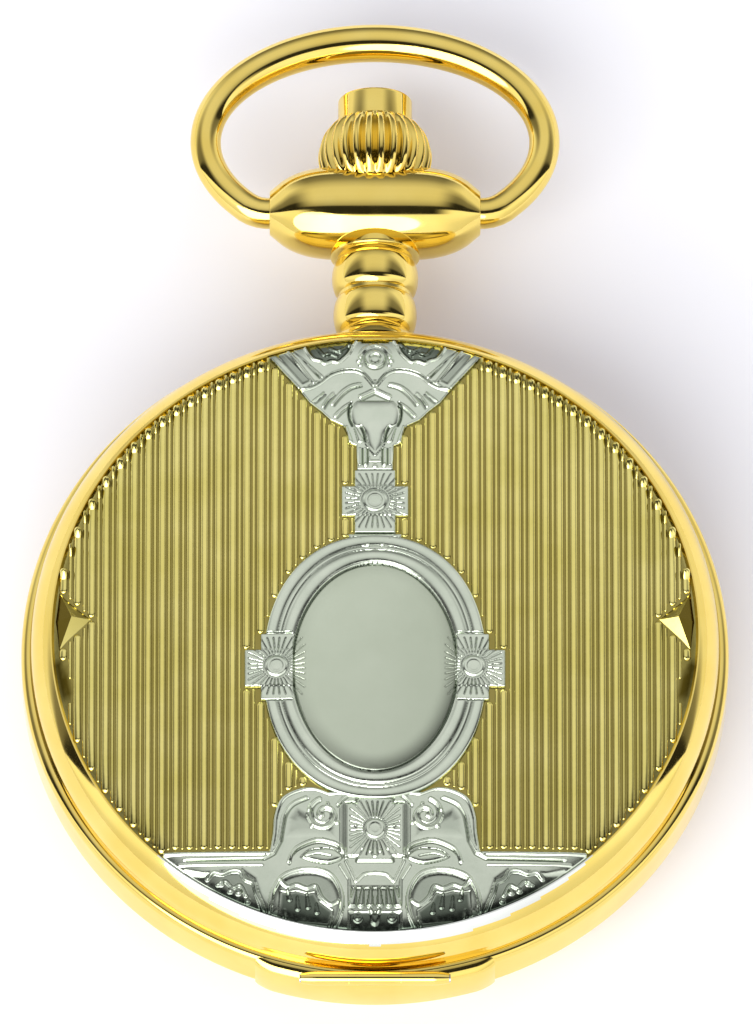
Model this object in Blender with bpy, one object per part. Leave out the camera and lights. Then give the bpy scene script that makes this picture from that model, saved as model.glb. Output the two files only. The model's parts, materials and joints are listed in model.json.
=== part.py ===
"""Hunter-case pocket watch, modelled piece by piece.

The watch lies on its back.  The origin is the centre of the flat of the back
cover, +Z comes out of the front cover, +Y runs from six o'clock to the pendant
at twelve, and +X points to three o'clock.  Driving dimensions are millimetres;
MM turns them into Blender's metres.  Heights are measured from the plane in
the middle of the case band, which lies MID_Z above the rest face.
"""

from math import acos, atan2, cos, degrees, hypot, pi, radians, sin, sqrt

import bmesh
import bpy
from mathutils import Vector
from mathutils.geometry import tessellate_polygon

MM = 0.001

# --- case -----------------------------------------------------------------
CASE_SEGMENTS = 40
CASE_RADIUS = 24.0
CASE_THICKNESS = 13.0
MID_Z = CASE_THICKNESS / 2
BAND_TOP = 1.76
BAND_BOTTOM = -2.10
BAND_FILLET = 0.45
BAND_BORE = 21.0
SEAM = 0.10
LIP_RADIUS = 23.35
LIP_HEIGHT = 2.40
PANEL_RADIUS = 22.0
PANEL_EDGE_HEIGHT = 4.95
PANEL_RISE = 1.40
SHELL = 0.55
BACK_FLAT_RADIUS = 14.0
BEZEL_BULGE = 0.34

# --- cover hinge at six o'clock --------------------------------------------
HINGE_Y = -24.15
HINGE_Z = 2.15
HINGE_KNUCKLE = 0.60
HINGE_PIN = 0.28
HINGE_HALF_LENGTH = 5.0
HINGE_MIDDLE_HALF = 1.75
HINGE_BLOCK_HALF_ANGLE = 19.6
HINGE_BLOCK_PROUD = 0.45

# --- pendant, bow, crown and push button -------------------------------------
BARREL_Y = 33.56
BARREL_RADIUS = 3.24
BARREL_END_RADIUS = 1.60
BARREL_FULLNESS = 4.2
BARREL_HALF_LENGTH = 7.2
STEM_BORE = 0.85
BOW_CENTRE_Y = 38.9
BOW_HALF_WIDTH = 11.6
BOW_HALF_HEIGHT = 7.45
BOW_TOP_TUBE = 1.30
BOW_SIDE_TUBE = 1.05
BOW_END_TUBE = 1.10
BOW_SIDES = 10
CROWN_BOTTOM = 35.35
CROWN_TOP = 40.0
CROWN_RADIUS = 3.9
CROWN_FLUTES = 26
CROWN_FLUTE_DEPTH = 0.32
CROWN_CUP_DEPTH = 2.2
BUTTON_RADIUS = 2.55
BUTTON_TOP = 41.95
BUTTON_SKIRT = 1.2
BUTTON_EDGE = 0.3
STEM_RADIUS = 0.5

# --- dial side ----------------------------------------------------------------
DIAL_RADIUS = 20.0
DIAL_LOW = 2.0
DIAL_HIGH = 2.3
PLATE_RADIUS = 18.3
PLATE_LOW = 0.6
PLATE_HIGH = 1.1
PIVOT_GAP = 0.12

# --- going train: tooth counts and axes ------------------------------------------
BARREL_TEETH = 72
CENTRE_TEETH = 64
CENTRE_LEAVES = 12
THIRD_TEETH = 60
THIRD_LEAVES = 8
FOURTH_TEETH = 70
FOURTH_LEAVES = 8
ESCAPE_TEETH = 15
ESCAPE_LEAVES = 7
RATCHET_TEETH = 40
CROWN_WHEEL_TEETH = 30
LEAF_DEPTH = 0.36
TOOTH_CLEARANCE = 0.03

BARREL_AXIS = (8.0, 3.7)
CENTRE_AXIS = (0.0, 0.0)
FOURTH_AXIS = (0.0, -9.5)
THIRD_AXIS = (4.41, -5.43)
ESCAPE_AXIS = (-4.70, -7.80)
PALLET_AXIS = (-7.60, -5.90)
BALANCE_AXIS = (-10.0, -3.0)
CROWN_WHEEL_AXIS = (2.2, 11.6)
MINUTE_WHEEL_AXIS = (0.0, 4.55)
CLICK_AXIS = (13.6, 9.4)

# --- bridges: outline radius, straight edge, and (low, high) heights ---------------------
BRIDGE_RADIUS = 17.9
BRIDGE_EDGE_Y = 1.0
BARREL_BRIDGE = (-3.0, -2.35)
TRAIN_BRIDGE = (-3.55, -2.95)
BALANCE_COCK = (-4.4, -3.85)
PLATE_SLOT_HALF = 2.05
PLATE_SLOT_FLOOR = 11.2
BARREL_POSTS = ((16.0, 4.2), (10.5, 13.2), (-3.6, 15.6))
TRAIN_POSTS = ((14.5, -8.5), (1.5, -16.2))
COCK_POST = (-15.0, 2.2)
POSTS = BARREL_POSTS + TRAIN_POSTS + (COCK_POST,)


# --- points and outlines -------------------------------------------------------
def arc(centre, radius, start, end, steps):
    """Points on a circular arc between two angles in degrees, both ends included."""
    cx, cy = centre
    points = []
    for index in range(steps + 1):
        angle = radians(start + (end - start) * index / steps)
        points.append((cx + radius * cos(angle), cy + radius * sin(angle)))
    return points


def circle(centre, radius, count):
    """Points round a full circle."""
    return arc(centre, radius, 0.0, 360.0, count)[:-1]


def bulged(start, end, bulge, steps):
    """Points on the shallow curve from start to end that bows out by bulge on its left."""
    (x0, y0), (x1, y1) = start, end
    length = hypot(x1 - x0, y1 - y0)
    side = (-(y1 - y0) / length, (x1 - x0) / length)
    points = []
    for index in range(steps + 1):
        t = index / steps
        lift = 4 * bulge * t * (1 - t)
        points.append((x0 + (x1 - x0) * t + side[0] * lift, y0 + (y1 - y0) * t + side[1] * lift))
    return points


def gear_outline(teeth, pitch_radius, depth, centre=(0.0, 0.0), phase=0.0):
    """Outline with one straight-sided tooth per pitch, whose tip just clears the pitch circle."""
    cx, cy = centre
    points = []
    for tooth in range(teeth):
        for offset, radius in ((0.0, pitch_radius - depth), (0.5, pitch_radius - TOOTH_CLEARANCE)):
            angle = 2 * pi * (tooth + offset) / teeth + phase
            points.append((cx + radius * cos(angle), cy + radius * sin(angle)))
    return points


def spoke_windows(count, hub, rim, web, centre=(0.0, 0.0)):
    """Openings between the spokes of a wheel."""
    windows = []
    for index in range(count):
        inner_edge = degrees(web / 2 / hub)
        outer_edge = degrees(web / 2 / rim)
        start = 360.0 * index / count
        end = 360.0 * (index + 1) / count
        outline = arc(centre, rim, start + outer_edge, end - outer_edge, 5)
        outline += arc(centre, hub, end - inner_edge, start + inner_edge, 2)
        windows.append(outline)
    return windows


# --- meshes and objects ----------------------------------------------------------
def remove_scene_objects():
    """Start from an empty scene."""
    for old in list(bpy.data.objects):
        bpy.data.objects.remove(old, do_unlink=True)


def make_material(name, colour, roughness, metallic):
    """Principled BSDF material."""
    material = bpy.data.materials.new(name)
    material.use_nodes = True
    shader = material.node_tree.nodes["Principled BSDF"]
    shader.inputs["Base Color"].default_value = (*colour, 1.0)
    shader.inputs["Roughness"].default_value = roughness
    shader.inputs["Metallic"].default_value = metallic
    material.diffuse_color = (*colour, 1.0)
    return material


def add_object(name, vertices, faces, material, origin=(0.0, 0.0, 0.0)):
    """Closed mesh from points in millimetres, with its origin on its joint's axis."""
    mesh = bpy.data.meshes.new(name)
    body = bmesh.new()
    start = Vector(origin)
    corners = [body.verts.new((Vector(point) - start) * MM) for point in vertices]
    for face in faces:
        body.faces.new([corners[index] for index in face])
    bmesh.ops.recalc_face_normals(body, faces=body.faces[:])
    body.to_mesh(mesh)
    body.free()
    mesh.shade_smooth()
    mesh.set_sharp_from_angle(angle=radians(34))
    mesh.materials.append(material)
    result = bpy.data.objects.new(name, mesh)
    result.location = (start + Vector((0.0, 0.0, MID_Z))) * MM
    bpy.context.collection.objects.link(result)
    return result


def loft(name, rings, material, origin=(0.0, 0.0, 0.0), closed=False):
    """Skin over successive rings of equal count, capped at both ends unless it closes on itself."""
    count = len(rings[0])
    vertices = [point for ring in rings for point in ring]
    faces = []
    last = len(rings) if closed else len(rings) - 1
    for row in range(last):
        low = row * count
        high = ((row + 1) % len(rings)) * count
        for index in range(count):
            after = (index + 1) % count
            faces.append((low + index, low + after, high + after, high + index))
    if not closed:
        for ring_start in (0, (len(rings) - 1) * count):
            ring = vertices[ring_start:ring_start + count]
            middle = sum((Vector(point) for point in ring), Vector()) / count
            vertices.append(tuple(middle))
            hub = len(vertices) - 1
            for index in range(count):
                faces.append((ring_start + index, ring_start + (index + 1) % count, hub))
    return add_object(name, vertices, faces, material, origin)


def place(across, up, along, axis):
    """A point given as two cross-axis coordinates and one along the named axis."""
    if axis == "X":
        return (along, across, up)
    if axis == "Y":
        return (across, along, up)
    return (across, up, along)


def turned(name, profile, material, axis="Z", centre=(0.0, 0.0), origin=(0.0, 0.0, 0.0),
           segments=CASE_SEGMENTS):
    """Solid of revolution: profile holds (radius, position along the axis).

    An open profile starts and ends on flat caps; a profile whose last point
    repeats its first is a ring with a bore.
    """
    closed = profile[0] == profile[-1]
    points = profile[:-1] if closed else profile
    rings = []
    for radius, along in points:
        ring = []
        for index in range(segments):
            angle = 2 * pi * index / segments
            ring.append(place(centre[0] + radius * cos(angle), centre[1] + radius * sin(angle), along, axis))
        rings.append(ring)
    return loft(name, rings, material, origin, closed)


def plate(name, loops, low, high, material, origin=(0.0, 0.0, 0.0)):
    """Flat piece: the first loop is its outline and the rest are holes through it."""
    flat = [point for loop in loops for point in loop]
    triangles = tessellate_polygon([[Vector((x, y, 0.0)) for x, y in loop] for loop in loops])
    count = len(flat)
    vertices = [(x, y, low) for x, y in flat] + [(x, y, high) for x, y in flat]
    faces = [tuple(triangle) for triangle in triangles]
    faces += [tuple(index + count for index in reversed(triangle)) for triangle in triangles]
    start = 0
    for loop in loops:
        size = len(loop)
        for index in range(size):
            here = start + index
            after = start + (index + 1) % size
            faces.append((here, after, after + count, here + count))
        start += size
    return add_object(name, vertices, faces, material, origin)


def sector(name, inner, outer, low, high, start, end, steps, material, origin=(0.0, 0.0, 0.0)):
    """Curved strip concentric with the case."""
    outline = arc((0.0, 0.0), outer, start, end, steps) + arc((0.0, 0.0), inner, end, start, steps)
    return plate(name, [outline], low, high, material, origin)


def add_boolean(target, operation, tool):
    """Cut or join with a tool object that is not a piece of the watch."""
    modifier = target.modifiers.new(operation.lower(), "BOOLEAN")
    modifier.operation = operation
    modifier.object = tool
    modifier.solver = "EXACT"
    tool.hide_render = True
    tool.display_type = "WIRE"


# --- case pieces --------------------------------------------------------------------
def bezel_curve(sign):
    """Polished convex shoulder from the lip to the panel edge, in (radius, height)."""
    lip = (LIP_RADIUS, LIP_HEIGHT * sign)
    edge = (PANEL_RADIUS + 0.15, PANEL_EDGE_HEIGHT * sign)
    return bulged(lip, edge, -BEZEL_BULGE * sign, 4)


def dome_height(radius):
    """Height of the front panel's outer face."""
    return PANEL_EDGE_HEIGHT + PANEL_RISE * (1 - (radius / PANEL_RADIUS) ** 2)


def make_case_band(gold):
    fillet = BAND_FILLET
    outer = arc((CASE_RADIUS - fillet, BAND_BOTTOM + fillet), fillet, -90, 0, 3)
    outer += arc((CASE_RADIUS - fillet, BAND_TOP - fillet), fillet, 0, 90, 3)
    profile = [(BAND_BORE, BAND_BOTTOM)] + outer + [(BAND_BORE, BAND_TOP)]
    band = turned("case_band", profile + profile[:1], gold)
    stem_hole = turned("band_stem_hole_cutter", [(STEM_BORE, 19.0), (STEM_BORE, 26.0)], gold, axis="Y",
                       segments=16)
    add_boolean(band, "DIFFERENCE", stem_hole)
    return band


def make_back_cover(gold):
    low = -CASE_THICKNESS / 2
    outer = bezel_curve(-1)
    crown_of_back = bulged((PANEL_RADIUS + 0.15, -PANEL_EDGE_HEIGHT), (BACK_FLAT_RADIUS, low), 0.22, 3)
    snap = [(LIP_RADIUS, BAND_BOTTOM - SEAM), (20.85, BAND_BOTTOM - SEAM), (20.85, -1.2), (20.45, -1.2),
            (20.45, -3.2), (21.3, low + 2.1), (BACK_FLAT_RADIUS, low + SHELL)]
    profile = list(reversed(crown_of_back))[:-1] + list(reversed(outer)) + snap
    return turned("back_cover", profile, gold)


def make_front_cover(gold, relief_gold):
    origin = (0.0, HINGE_Y, HINGE_Z)
    outer = bezel_curve(1)
    inner = [(PANEL_RADIUS, PANEL_EDGE_HEIGHT), (PANEL_RADIUS, 4.35), (21.2, 4.2), (21.3, 4.0), (22.35, 3.3),
             (22.6, BAND_TOP + 4 * SEAM), (LIP_RADIUS - 0.05, BAND_TOP + 4 * SEAM)]
    profile = outer + inner
    rim = turned("front_cover_rim", profile + profile[:1], gold, origin=origin)
    face = [(radius, dome_height(radius)) for radius in (0.6, 6.0, 11.0, 15.5, 19.0, PANEL_RADIUS - SEAM)]
    back = [(PANEL_RADIUS - SEAM, 4.50), (19.0, dome_height(19.0) - SHELL), (11.0, dome_height(11.0) - SHELL),
            (0.6, dome_height(0.6) - SHELL)]
    panel = turned("front_cover_panel", face + back, relief_gold, origin=origin)
    return rim, panel


def knuckle(name, start, end, material, origin=(0.0, 0.0, 0.0)):
    """Hinge barrel along X with a bore for the pin."""
    bore = HINGE_PIN + PIVOT_GAP
    profile = [(HINGE_KNUCKLE, start), (HINGE_KNUCKLE, end), (bore, end), (bore, start)]
    return turned(name, profile + profile[:1], material, axis="X", centre=(HINGE_Y, HINGE_Z), origin=origin,
                  segments=20)


def make_hinge(gold):
    origin = (0.0, HINGE_Y, HINGE_Z)
    half = HINGE_BLOCK_HALF_ANGLE
    block = sector("hinge_block", CASE_RADIUS + SEAM, CASE_RADIUS + HINGE_BLOCK_PROUD,
                   BAND_BOTTOM + 0.1, BAND_TOP - 0.04, -90 - half, -90 + half, 10, gold)
    room = HINGE_MIDDLE_HALF + PIVOT_GAP
    reach = HINGE_KNUCKLE + PIVOT_GAP
    clearance = turned("hinge_gap_cutter", [(reach, -room), (reach, room)], gold, axis="X",
                       centre=(HINGE_Y, HINGE_Z), segments=20)
    add_boolean(block, "DIFFERENCE", clearance)
    for side in (-1, 1):
        start, end = sorted((side * (room + 0.07), side * HINGE_HALF_LENGTH))
        tube = knuckle("block_knuckle_tool_" + ("right" if side > 0 else "left"), start, end, gold)
        add_boolean(block, "UNION", tube)
    tube = knuckle("cover_hinge_tube", -HINGE_MIDDLE_HALF, HINGE_MIDDLE_HALF, gold, origin)
    end = HINGE_HALF_LENGTH + 0.1
    pin = turned("hinge_pin", [(HINGE_PIN, -end), (HINGE_PIN, end)], gold, axis="X",
                 centre=(HINGE_Y, HINGE_Z), segments=12)
    return block, tube, pin


def make_glass_side(gold, steel, glass):
    profile = [(21.85, BAND_TOP + SEAM), (21.85, 2.75), (21.3, 3.45), (20.85, 3.5), (20.85, 2.85),
               (20.1, 2.85), (20.1, BAND_TOP + SEAM)]
    bezel = turned("crystal_bezel", profile + profile[:1], gold)
    top = [(0.6, 4.75), (8.0, 4.6), (14.0, 4.25), (18.5, 3.72), (20.7, 3.35)]
    under = [(20.7, 2.95), (19.9, 2.95), (14.0, 3.75), (0.6, 4.2)]
    crystal = turned("crystal", top + under, glass, segments=36)
    lock = sector("lock_spring", 20.4, 20.8, -0.8, 0.8, 98, 160, 10, steel)
    lift = sector("lift_spring", 20.4, 20.8, -0.8, 0.8, -130, -50, 12, steel)
    catch = sector("cover_catch", 22.05, 22.35, BAND_TOP + SEAM, 2.75, 86, 94, 3, steel,
                   (0.0, 22.2, 2.3))
    return bezel, crystal, lock, lift, catch


# --- pendant, bow, crown -----------------------------------------------------------------
def make_pendant(gold):
    """Beaded neck and the cross barrel that holds the bow, in one casting with the stem's bore."""
    neck_profile = [(2.75, CASE_RADIUS + SEAM), (2.75, 24.5)]
    neck_profile += [(2.0 + 0.86 * cos(radians(a)), 25.75 + 1.15 * sin(radians(a))) for a in (-60, 0, 60)]
    neck_profile += [(2.45, 27.2)]
    neck_profile += [(2.0 + 0.95 * cos(radians(a)), 28.65 + 1.15 * sin(radians(a))) for a in (-60, 0, 60)]
    neck_profile += [(2.35, 30.3), (2.6, 31.5)]
    pendant = turned("pendant", neck_profile, gold, axis="Y", segments=20)
    half = BARREL_HALF_LENGTH
    swell = [(BARREL_RADIUS - (BARREL_RADIUS - BARREL_END_RADIUS) * abs(t) ** BARREL_FULLNESS, half * t)
             for t in (-1.0, -0.94, -0.84, -0.7, -0.45, 0.45, 0.7, 0.84, 0.94, 1.0)]
    socket = BOW_END_TUBE + 0.2
    floor = half - 1.5
    profile = [(0.3, -floor), (socket, -floor), (socket, -half)] + swell
    profile += [(socket, half), (socket, floor), (0.3, floor)]
    barrel = turned("pendant_barrel_tool", profile, gold, axis="X", centre=(BARREL_Y, 0.0), segments=20)
    add_boolean(pendant, "UNION", barrel)
    bore = turned("pendant_bore_cutter", [(STEM_BORE, 23.0), (STEM_BORE, 38.0)], gold, axis="Y", segments=12)
    add_boolean(pendant, "DIFFERENCE", bore)
    cup_profile = [(2.45, CROWN_BOTTOM - 0.3), (3.65, CROWN_BOTTOM + 0.65), (4.2, CROWN_BOTTOM + 1.6)]
    cup = turned("pendant_cup_cutter", cup_profile, gold, axis="Y", segments=24)
    add_boolean(pendant, "DIFFERENCE", cup)
    return pendant


def bow_path():
    """Centre line and tube radius of the bow from its left end to its right end."""
    half = BARREL_HALF_LENGTH
    left = [((-half + 1.2, BARREL_Y), BOW_END_TUBE), ((-half - 0.2, BARREL_Y), BOW_END_TUBE),
            ((-half - 1.05, BARREL_Y + 0.14), BOW_END_TUBE)]
    ring = []
    steps = 22
    for index in range(steps + 1):
        angle = radians(218 - 256 * index / steps)
        tube = BOW_SIDE_TUBE + (BOW_TOP_TUBE - BOW_SIDE_TUBE) * max(0.0, sin(angle)) ** 1.5
        ring.append(((BOW_HALF_WIDTH * cos(angle), BOW_CENTRE_Y + BOW_HALF_HEIGHT * sin(angle)), tube))
    right = [((-x, y), tube) for (x, y), tube in reversed(left)]
    return left + ring + right


def make_bow(gold):
    path = bow_path()
    rings = []
    for index, ((x, y), tube) in enumerate(path):
        before = path[max(index - 1, 0)][0]
        after = path[min(index + 1, len(path) - 1)][0]
        run = hypot(after[0] - before[0], after[1] - before[1])
        side = (-(after[1] - before[1]) / run, (after[0] - before[0]) / run)
        ring = []
        for step in range(BOW_SIDES):
            angle = 2 * pi * step / BOW_SIDES
            out = tube * cos(angle)
            ring.append((x + side[0] * out, y + side[1] * out, tube * sin(angle)))
        rings.append(ring)
    return loft("bow", rings, gold, (0.0, BARREL_Y, 0.0))


def make_crown(gold, steel):
    """Fluted crown with a cup for the push button, on its stem."""
    axis_point = (0.0, CROWN_BOTTOM, 0.0)
    height = CROWN_TOP - CROWN_BOTTOM
    cup_radius = BUTTON_RADIUS + PIVOT_GAP
    cup_floor = CROWN_TOP - CROWN_CUP_DEPTH
    bore = STEM_RADIUS + 0.05
    outline = [(2.1, 0.0, 0.0), (3.3, 0.16, 0.3), (3.8, 0.36, 1.0), (CROWN_RADIUS, 0.55, 1.0),
               (3.7, 0.74, 1.0), (3.2, 0.9, 0.5), (2.85, 1.0, 0.0)]
    rings = []
    count = CROWN_FLUTES * 2
    for radius, share, flute in outline:
        ring = []
        for index in range(count):
            angle = 2 * pi * index / count
            reach = radius - CROWN_FLUTE_DEPTH * flute * (index % 2)
            ring.append((reach * cos(angle), CROWN_BOTTOM + height * share, reach * sin(angle)))
        rings.append(ring)
    for radius, along in ((cup_radius, CROWN_TOP), (cup_radius, cup_floor), (bore, cup_floor),
                          (bore, CROWN_BOTTOM)):
        rings.append([(x, along, z) for x, z in circle((0.0, 0.0), radius, count)])
    crown = loft("crown", rings, gold, axis_point, closed=True)
    stem_profile = [(0.35, 11.6), (0.35, 13.4), (STEM_RADIUS, 13.4), (STEM_RADIUS, cup_floor - 0.1)]
    stem = turned("winding_stem", stem_profile, steel, axis="Y", origin=axis_point, segments=12)
    edge = BUTTON_EDGE
    button_profile = [(BUTTON_RADIUS, CROWN_TOP - BUTTON_SKIRT), (BUTTON_RADIUS, BUTTON_TOP - edge),
                      (BUTTON_RADIUS - 0.1, BUTTON_TOP - 0.09), (BUTTON_RADIUS - edge, BUTTON_TOP)]
    button = turned("push_button", button_profile, gold, axis="Y", origin=(0.0, CROWN_TOP, 0.0),
                    segments=20)
    return crown, stem, button


# --- dial and hands -------------------------------------------------------------------------
def hand_outline(length, width, tail, boss):
    """Tapering hand along +Y with a round boss at its centre."""
    shoulder = degrees(atan2(boss * 0.9, width / 2))
    waist = (width * 0.35, length * 0.55)
    outline = [waist, (0.05, length), (-0.05, length), (-waist[0], waist[1])]
    outline += arc((0.0, 0.0), boss, 180 - shoulder, 270 - 12, 4)
    outline += [(-width * 0.3, -tail), (width * 0.3, -tail)]
    outline += arc((0.0, 0.0), boss, 270 + 12, 360 + shoulder, 4)
    return outline


def shifted(outline, centre):
    """The outline moved to a new centre."""
    return [(x + centre[0], y + centre[1]) for x, y in outline]


def make_dial_side(white, blue, silver):
    outline = circle(CENTRE_AXIS, DIAL_RADIUS, CASE_SEGMENTS)
    holes = [circle(CENTRE_AXIS, 1.3, 16), circle(FOURTH_AXIS, 0.5, 12)]
    dial = plate("dial", [outline] + holes, DIAL_LOW, DIAL_HIGH, white)
    ring = [(19.8, -0.8), (19.8, 1.85), (18.45, 1.85), (18.45, -0.8), (19.8, -0.8)]
    holder = turned("movement_ring", ring, silver, segments=36)
    keyway = turned("movement_ring_cutter", [(1.9, 15.0), (1.9, 21.0)], silver, axis="Y", segments=16)
    add_boolean(holder, "DIFFERENCE", keyway)
    hour_loops = [hand_outline(11.0, 1.5, 1.9, 1.45), circle(CENTRE_AXIS, 0.95, 16)]
    hour = plate("hour_hand", hour_loops, 2.62, 2.80, blue)
    minute_loops = [hand_outline(16.6, 1.2, 2.6, 1.2), circle(CENTRE_AXIS, 0.5, 12)]
    minute = plate("minute_hand", minute_loops, 3.05, 3.22, blue)
    seconds_loops = [shifted(hand_outline(3.4, 0.5, 1.2, 0.5), FOURTH_AXIS), circle(FOURTH_AXIS, 0.22, 8)]
    seconds = plate("seconds_hand", seconds_loops, 2.42, 2.50, blue, (*FOURTH_AXIS, 2.42))
    return dial, holder, hour, minute, seconds


# --- wheels ------------------------------------------------------------------------------------
def wheel(name, teeth, radius, depth, axis, low, high, hub_bore, material, spokes=4, hub=1.1, phase=0.0):
    """Toothed wheel with spokes and a bored hub."""
    loops = [gear_outline(teeth, radius, depth, axis, phase), circle(axis, hub_bore, 12)]
    if spokes:
        loops += [shifted(window, axis) for window in spoke_windows(spokes, hub, radius - depth - 0.5, 0.55)]
    return plate(name, loops, low, high, material, (*axis, low))


def pinion(name, leaves, radius, axis, stations, material):
    """Arbor with leaves: stations hold (height, arbor radius or None where the leaves are)."""
    rings = []
    count = leaves * 2
    for height, arbor in stations:
        ring = []
        for index in range(count):
            angle = 2 * pi * index / count
            leaf = radius - (TOOTH_CLEARANCE if index % 2 else LEAF_DEPTH)
            reach = leaf if arbor is None else arbor
            ring.append((axis[0] + reach * cos(angle), axis[1] + reach * sin(angle), height))
        rings.append(ring)
    return loft(name, rings, material, (*axis, stations[0][0]))


def make_going_train(brass, steel):
    drum_low = -1.6
    origin = (*BARREL_AXIS, 0.0)
    toothed = gear_outline(BARREL_TEETH, 7.54, 0.4, BARREL_AXIS)
    teeth = plate("barrel_teeth_ring", [toothed, circle(BARREL_AXIS, 6.6, 36)], 0.0, 0.3, brass, origin)
    cup = [(7.05, -0.12), (7.05, drum_low), (0.75, drum_low), (0.75, drum_low + 0.2), (6.75, drum_low + 0.2),
           (6.75, -0.12), (7.05, -0.12)]
    drum = turned("barrel_drum", cup, brass, centre=BARREL_AXIS, origin=origin, segments=36)
    core = [(0.6, -4.2), (0.6, -1.3), (1.6, -1.3), (1.6, -0.25), (0.6, -0.25), (0.6, 0.5)]
    arbor = turned("barrel_arbor", core, steel, centre=BARREL_AXIS, origin=origin, segments=16)
    centre = wheel("centre_wheel", CENTRE_TEETH, 6.22, 0.38, CENTRE_AXIS, -2.0, -1.75, 0.45, brass)
    stations = [(-2.7, 0.35), (-0.2, 0.35), (-0.2, None), (0.42, None), (0.42, 0.32), (3.3, 0.32)]
    centre_arbor = pinion("centre_pinion", CENTRE_LEAVES, 1.257, CENTRE_AXIS, stations, steel)
    third = wheel("third_wheel", THIRD_TEETH, 5.29, 0.34, THIRD_AXIS, -2.55, -2.3, 0.4, brass, phase=0.05)
    stations = [(-2.8, 0.2), (-2.25, 0.2), (-2.2, None), (-1.6, None), (-1.5, 0.25), (0.5, 0.25)]
    third_arbor = pinion("third_pinion", THIRD_LEAVES, 0.777, THIRD_AXIS, stations, steel)
    fourth = wheel("fourth_wheel", FOURTH_TEETH, 4.55, 0.26, FOURTH_AXIS, -1.35, -1.15, 0.35, brass, hub=0.95)
    stations = [(-2.8, 0.2), (-2.75, None), (-2.2, None), (-2.1, 0.2), (2.55, 0.15)]
    fourth_arbor = pinion("fourth_pinion", FOURTH_LEAVES, 0.705, FOURTH_AXIS, stations, steel)
    return teeth, drum, arbor, centre, centre_arbor, third, third_arbor, fourth, fourth_arbor


def make_escapement(steel, gold):
    escape = plate("escape_wheel", [escape_outline(), circle(ESCAPE_AXIS, 0.3, 8)], -0.5, -0.3, steel,
                   (*ESCAPE_AXIS, -0.5))
    stations = [(-2.7, 0.15), (-1.6, 0.15), (-1.5, None), (-0.9, None), (-0.8, 0.18), (0.45, 0.15)]
    escape_arbor = pinion("escape_pinion", ESCAPE_LEAVES, 0.454, ESCAPE_AXIS, stations, steel)
    fork = plate("pallet_fork", [fork_outline()], -0.5, -0.3, steel, (*PALLET_AXIS, -0.5))
    origin = (*BALANCE_AXIS, -2.45)
    loops = [circle(BALANCE_AXIS, 5.0, 40), circle(BALANCE_AXIS, 0.35, 10)]
    loops += [shifted(window, BALANCE_AXIS) for window in spoke_windows(2, 1.0, 4.35, 0.8)]
    rim = plate("balance_wheel", loops, -2.85, -2.45, gold, origin)
    staff_profile = [(0.12, -3.7), (0.25, -3.6), (0.25, -0.75), (0.75, -0.7), (0.75, -0.58), (0.2, -0.54),
                     (0.12, 0.5)]
    staff = turned("balance_staff", staff_profile, steel, centre=BALANCE_AXIS, origin=origin, segments=12)
    spring = spiral_ribbon("hairspring", BALANCE_AXIS, 0.6, 2.4, 3.0, -3.3, -3.05, 0.07, steel, origin)
    return escape, escape_arbor, fork, rim, staff, spring


def escape_outline():
    """Club-toothed escape wheel outline."""
    points = []
    for tooth in range(ESCAPE_TEETH):
        for offset, radius in ((0.0, 1.6), (0.45, 1.6), (0.62, 2.28), (0.78, 2.2)):
            angle = 2 * pi * (tooth + offset) / ESCAPE_TEETH
            points.append((radius * cos(angle), radius * sin(angle)))
    return shifted(points, ESCAPE_AXIS)


def fork_outline():
    """Pallet fork: two arms towards the escape wheel and a forked tail towards the balance."""
    towards = atan2(BALANCE_AXIS[1] - PALLET_AXIS[1], BALANCE_AXIS[0] - PALLET_AXIS[0])
    shape = [(0.35, -0.45), (2.3, -0.14), (2.7, -0.42), (2.72, -0.22), (2.45, 0.0), (2.72, 0.22), (2.7, 0.42),
             (2.3, 0.14), (0.35, 0.45), (0.0, 2.0), (-0.72, 2.15), (-0.74, 1.85), (-0.35, 1.7), (-0.4, 0.0),
             (-0.35, -1.7), (-0.74, -1.85), (-0.72, -2.15), (0.0, -2.0)]
    turned_shape = []
    for x, y in shape:
        turned_shape.append((x * cos(towards) - y * sin(towards), x * sin(towards) + y * cos(towards)))
    return shifted(turned_shape, PALLET_AXIS)


def spiral_ribbon(name, centre, inner, outer, turns, low, high, thickness, material, origin):
    """Flat spiral spring: a ribbon wound from its collet to its stud."""
    steps = int(turns * 12)
    inside = []
    outside = []
    for index in range(steps + 1):
        angle = 2 * pi * turns * index / steps
        radius = inner + (outer - inner) * index / steps
        for points, offset in ((inside, -thickness / 2), (outside, thickness / 2)):
            reach = radius + offset
            points.append((centre[0] + reach * cos(angle), centre[1] + reach * sin(angle)))
    rings = []
    for near, far in zip(inside, outside):
        rings.append([(*near, low), (*far, low), (*far, high), (*near, high)])
    return loft(name, rings, material, origin)


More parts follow.
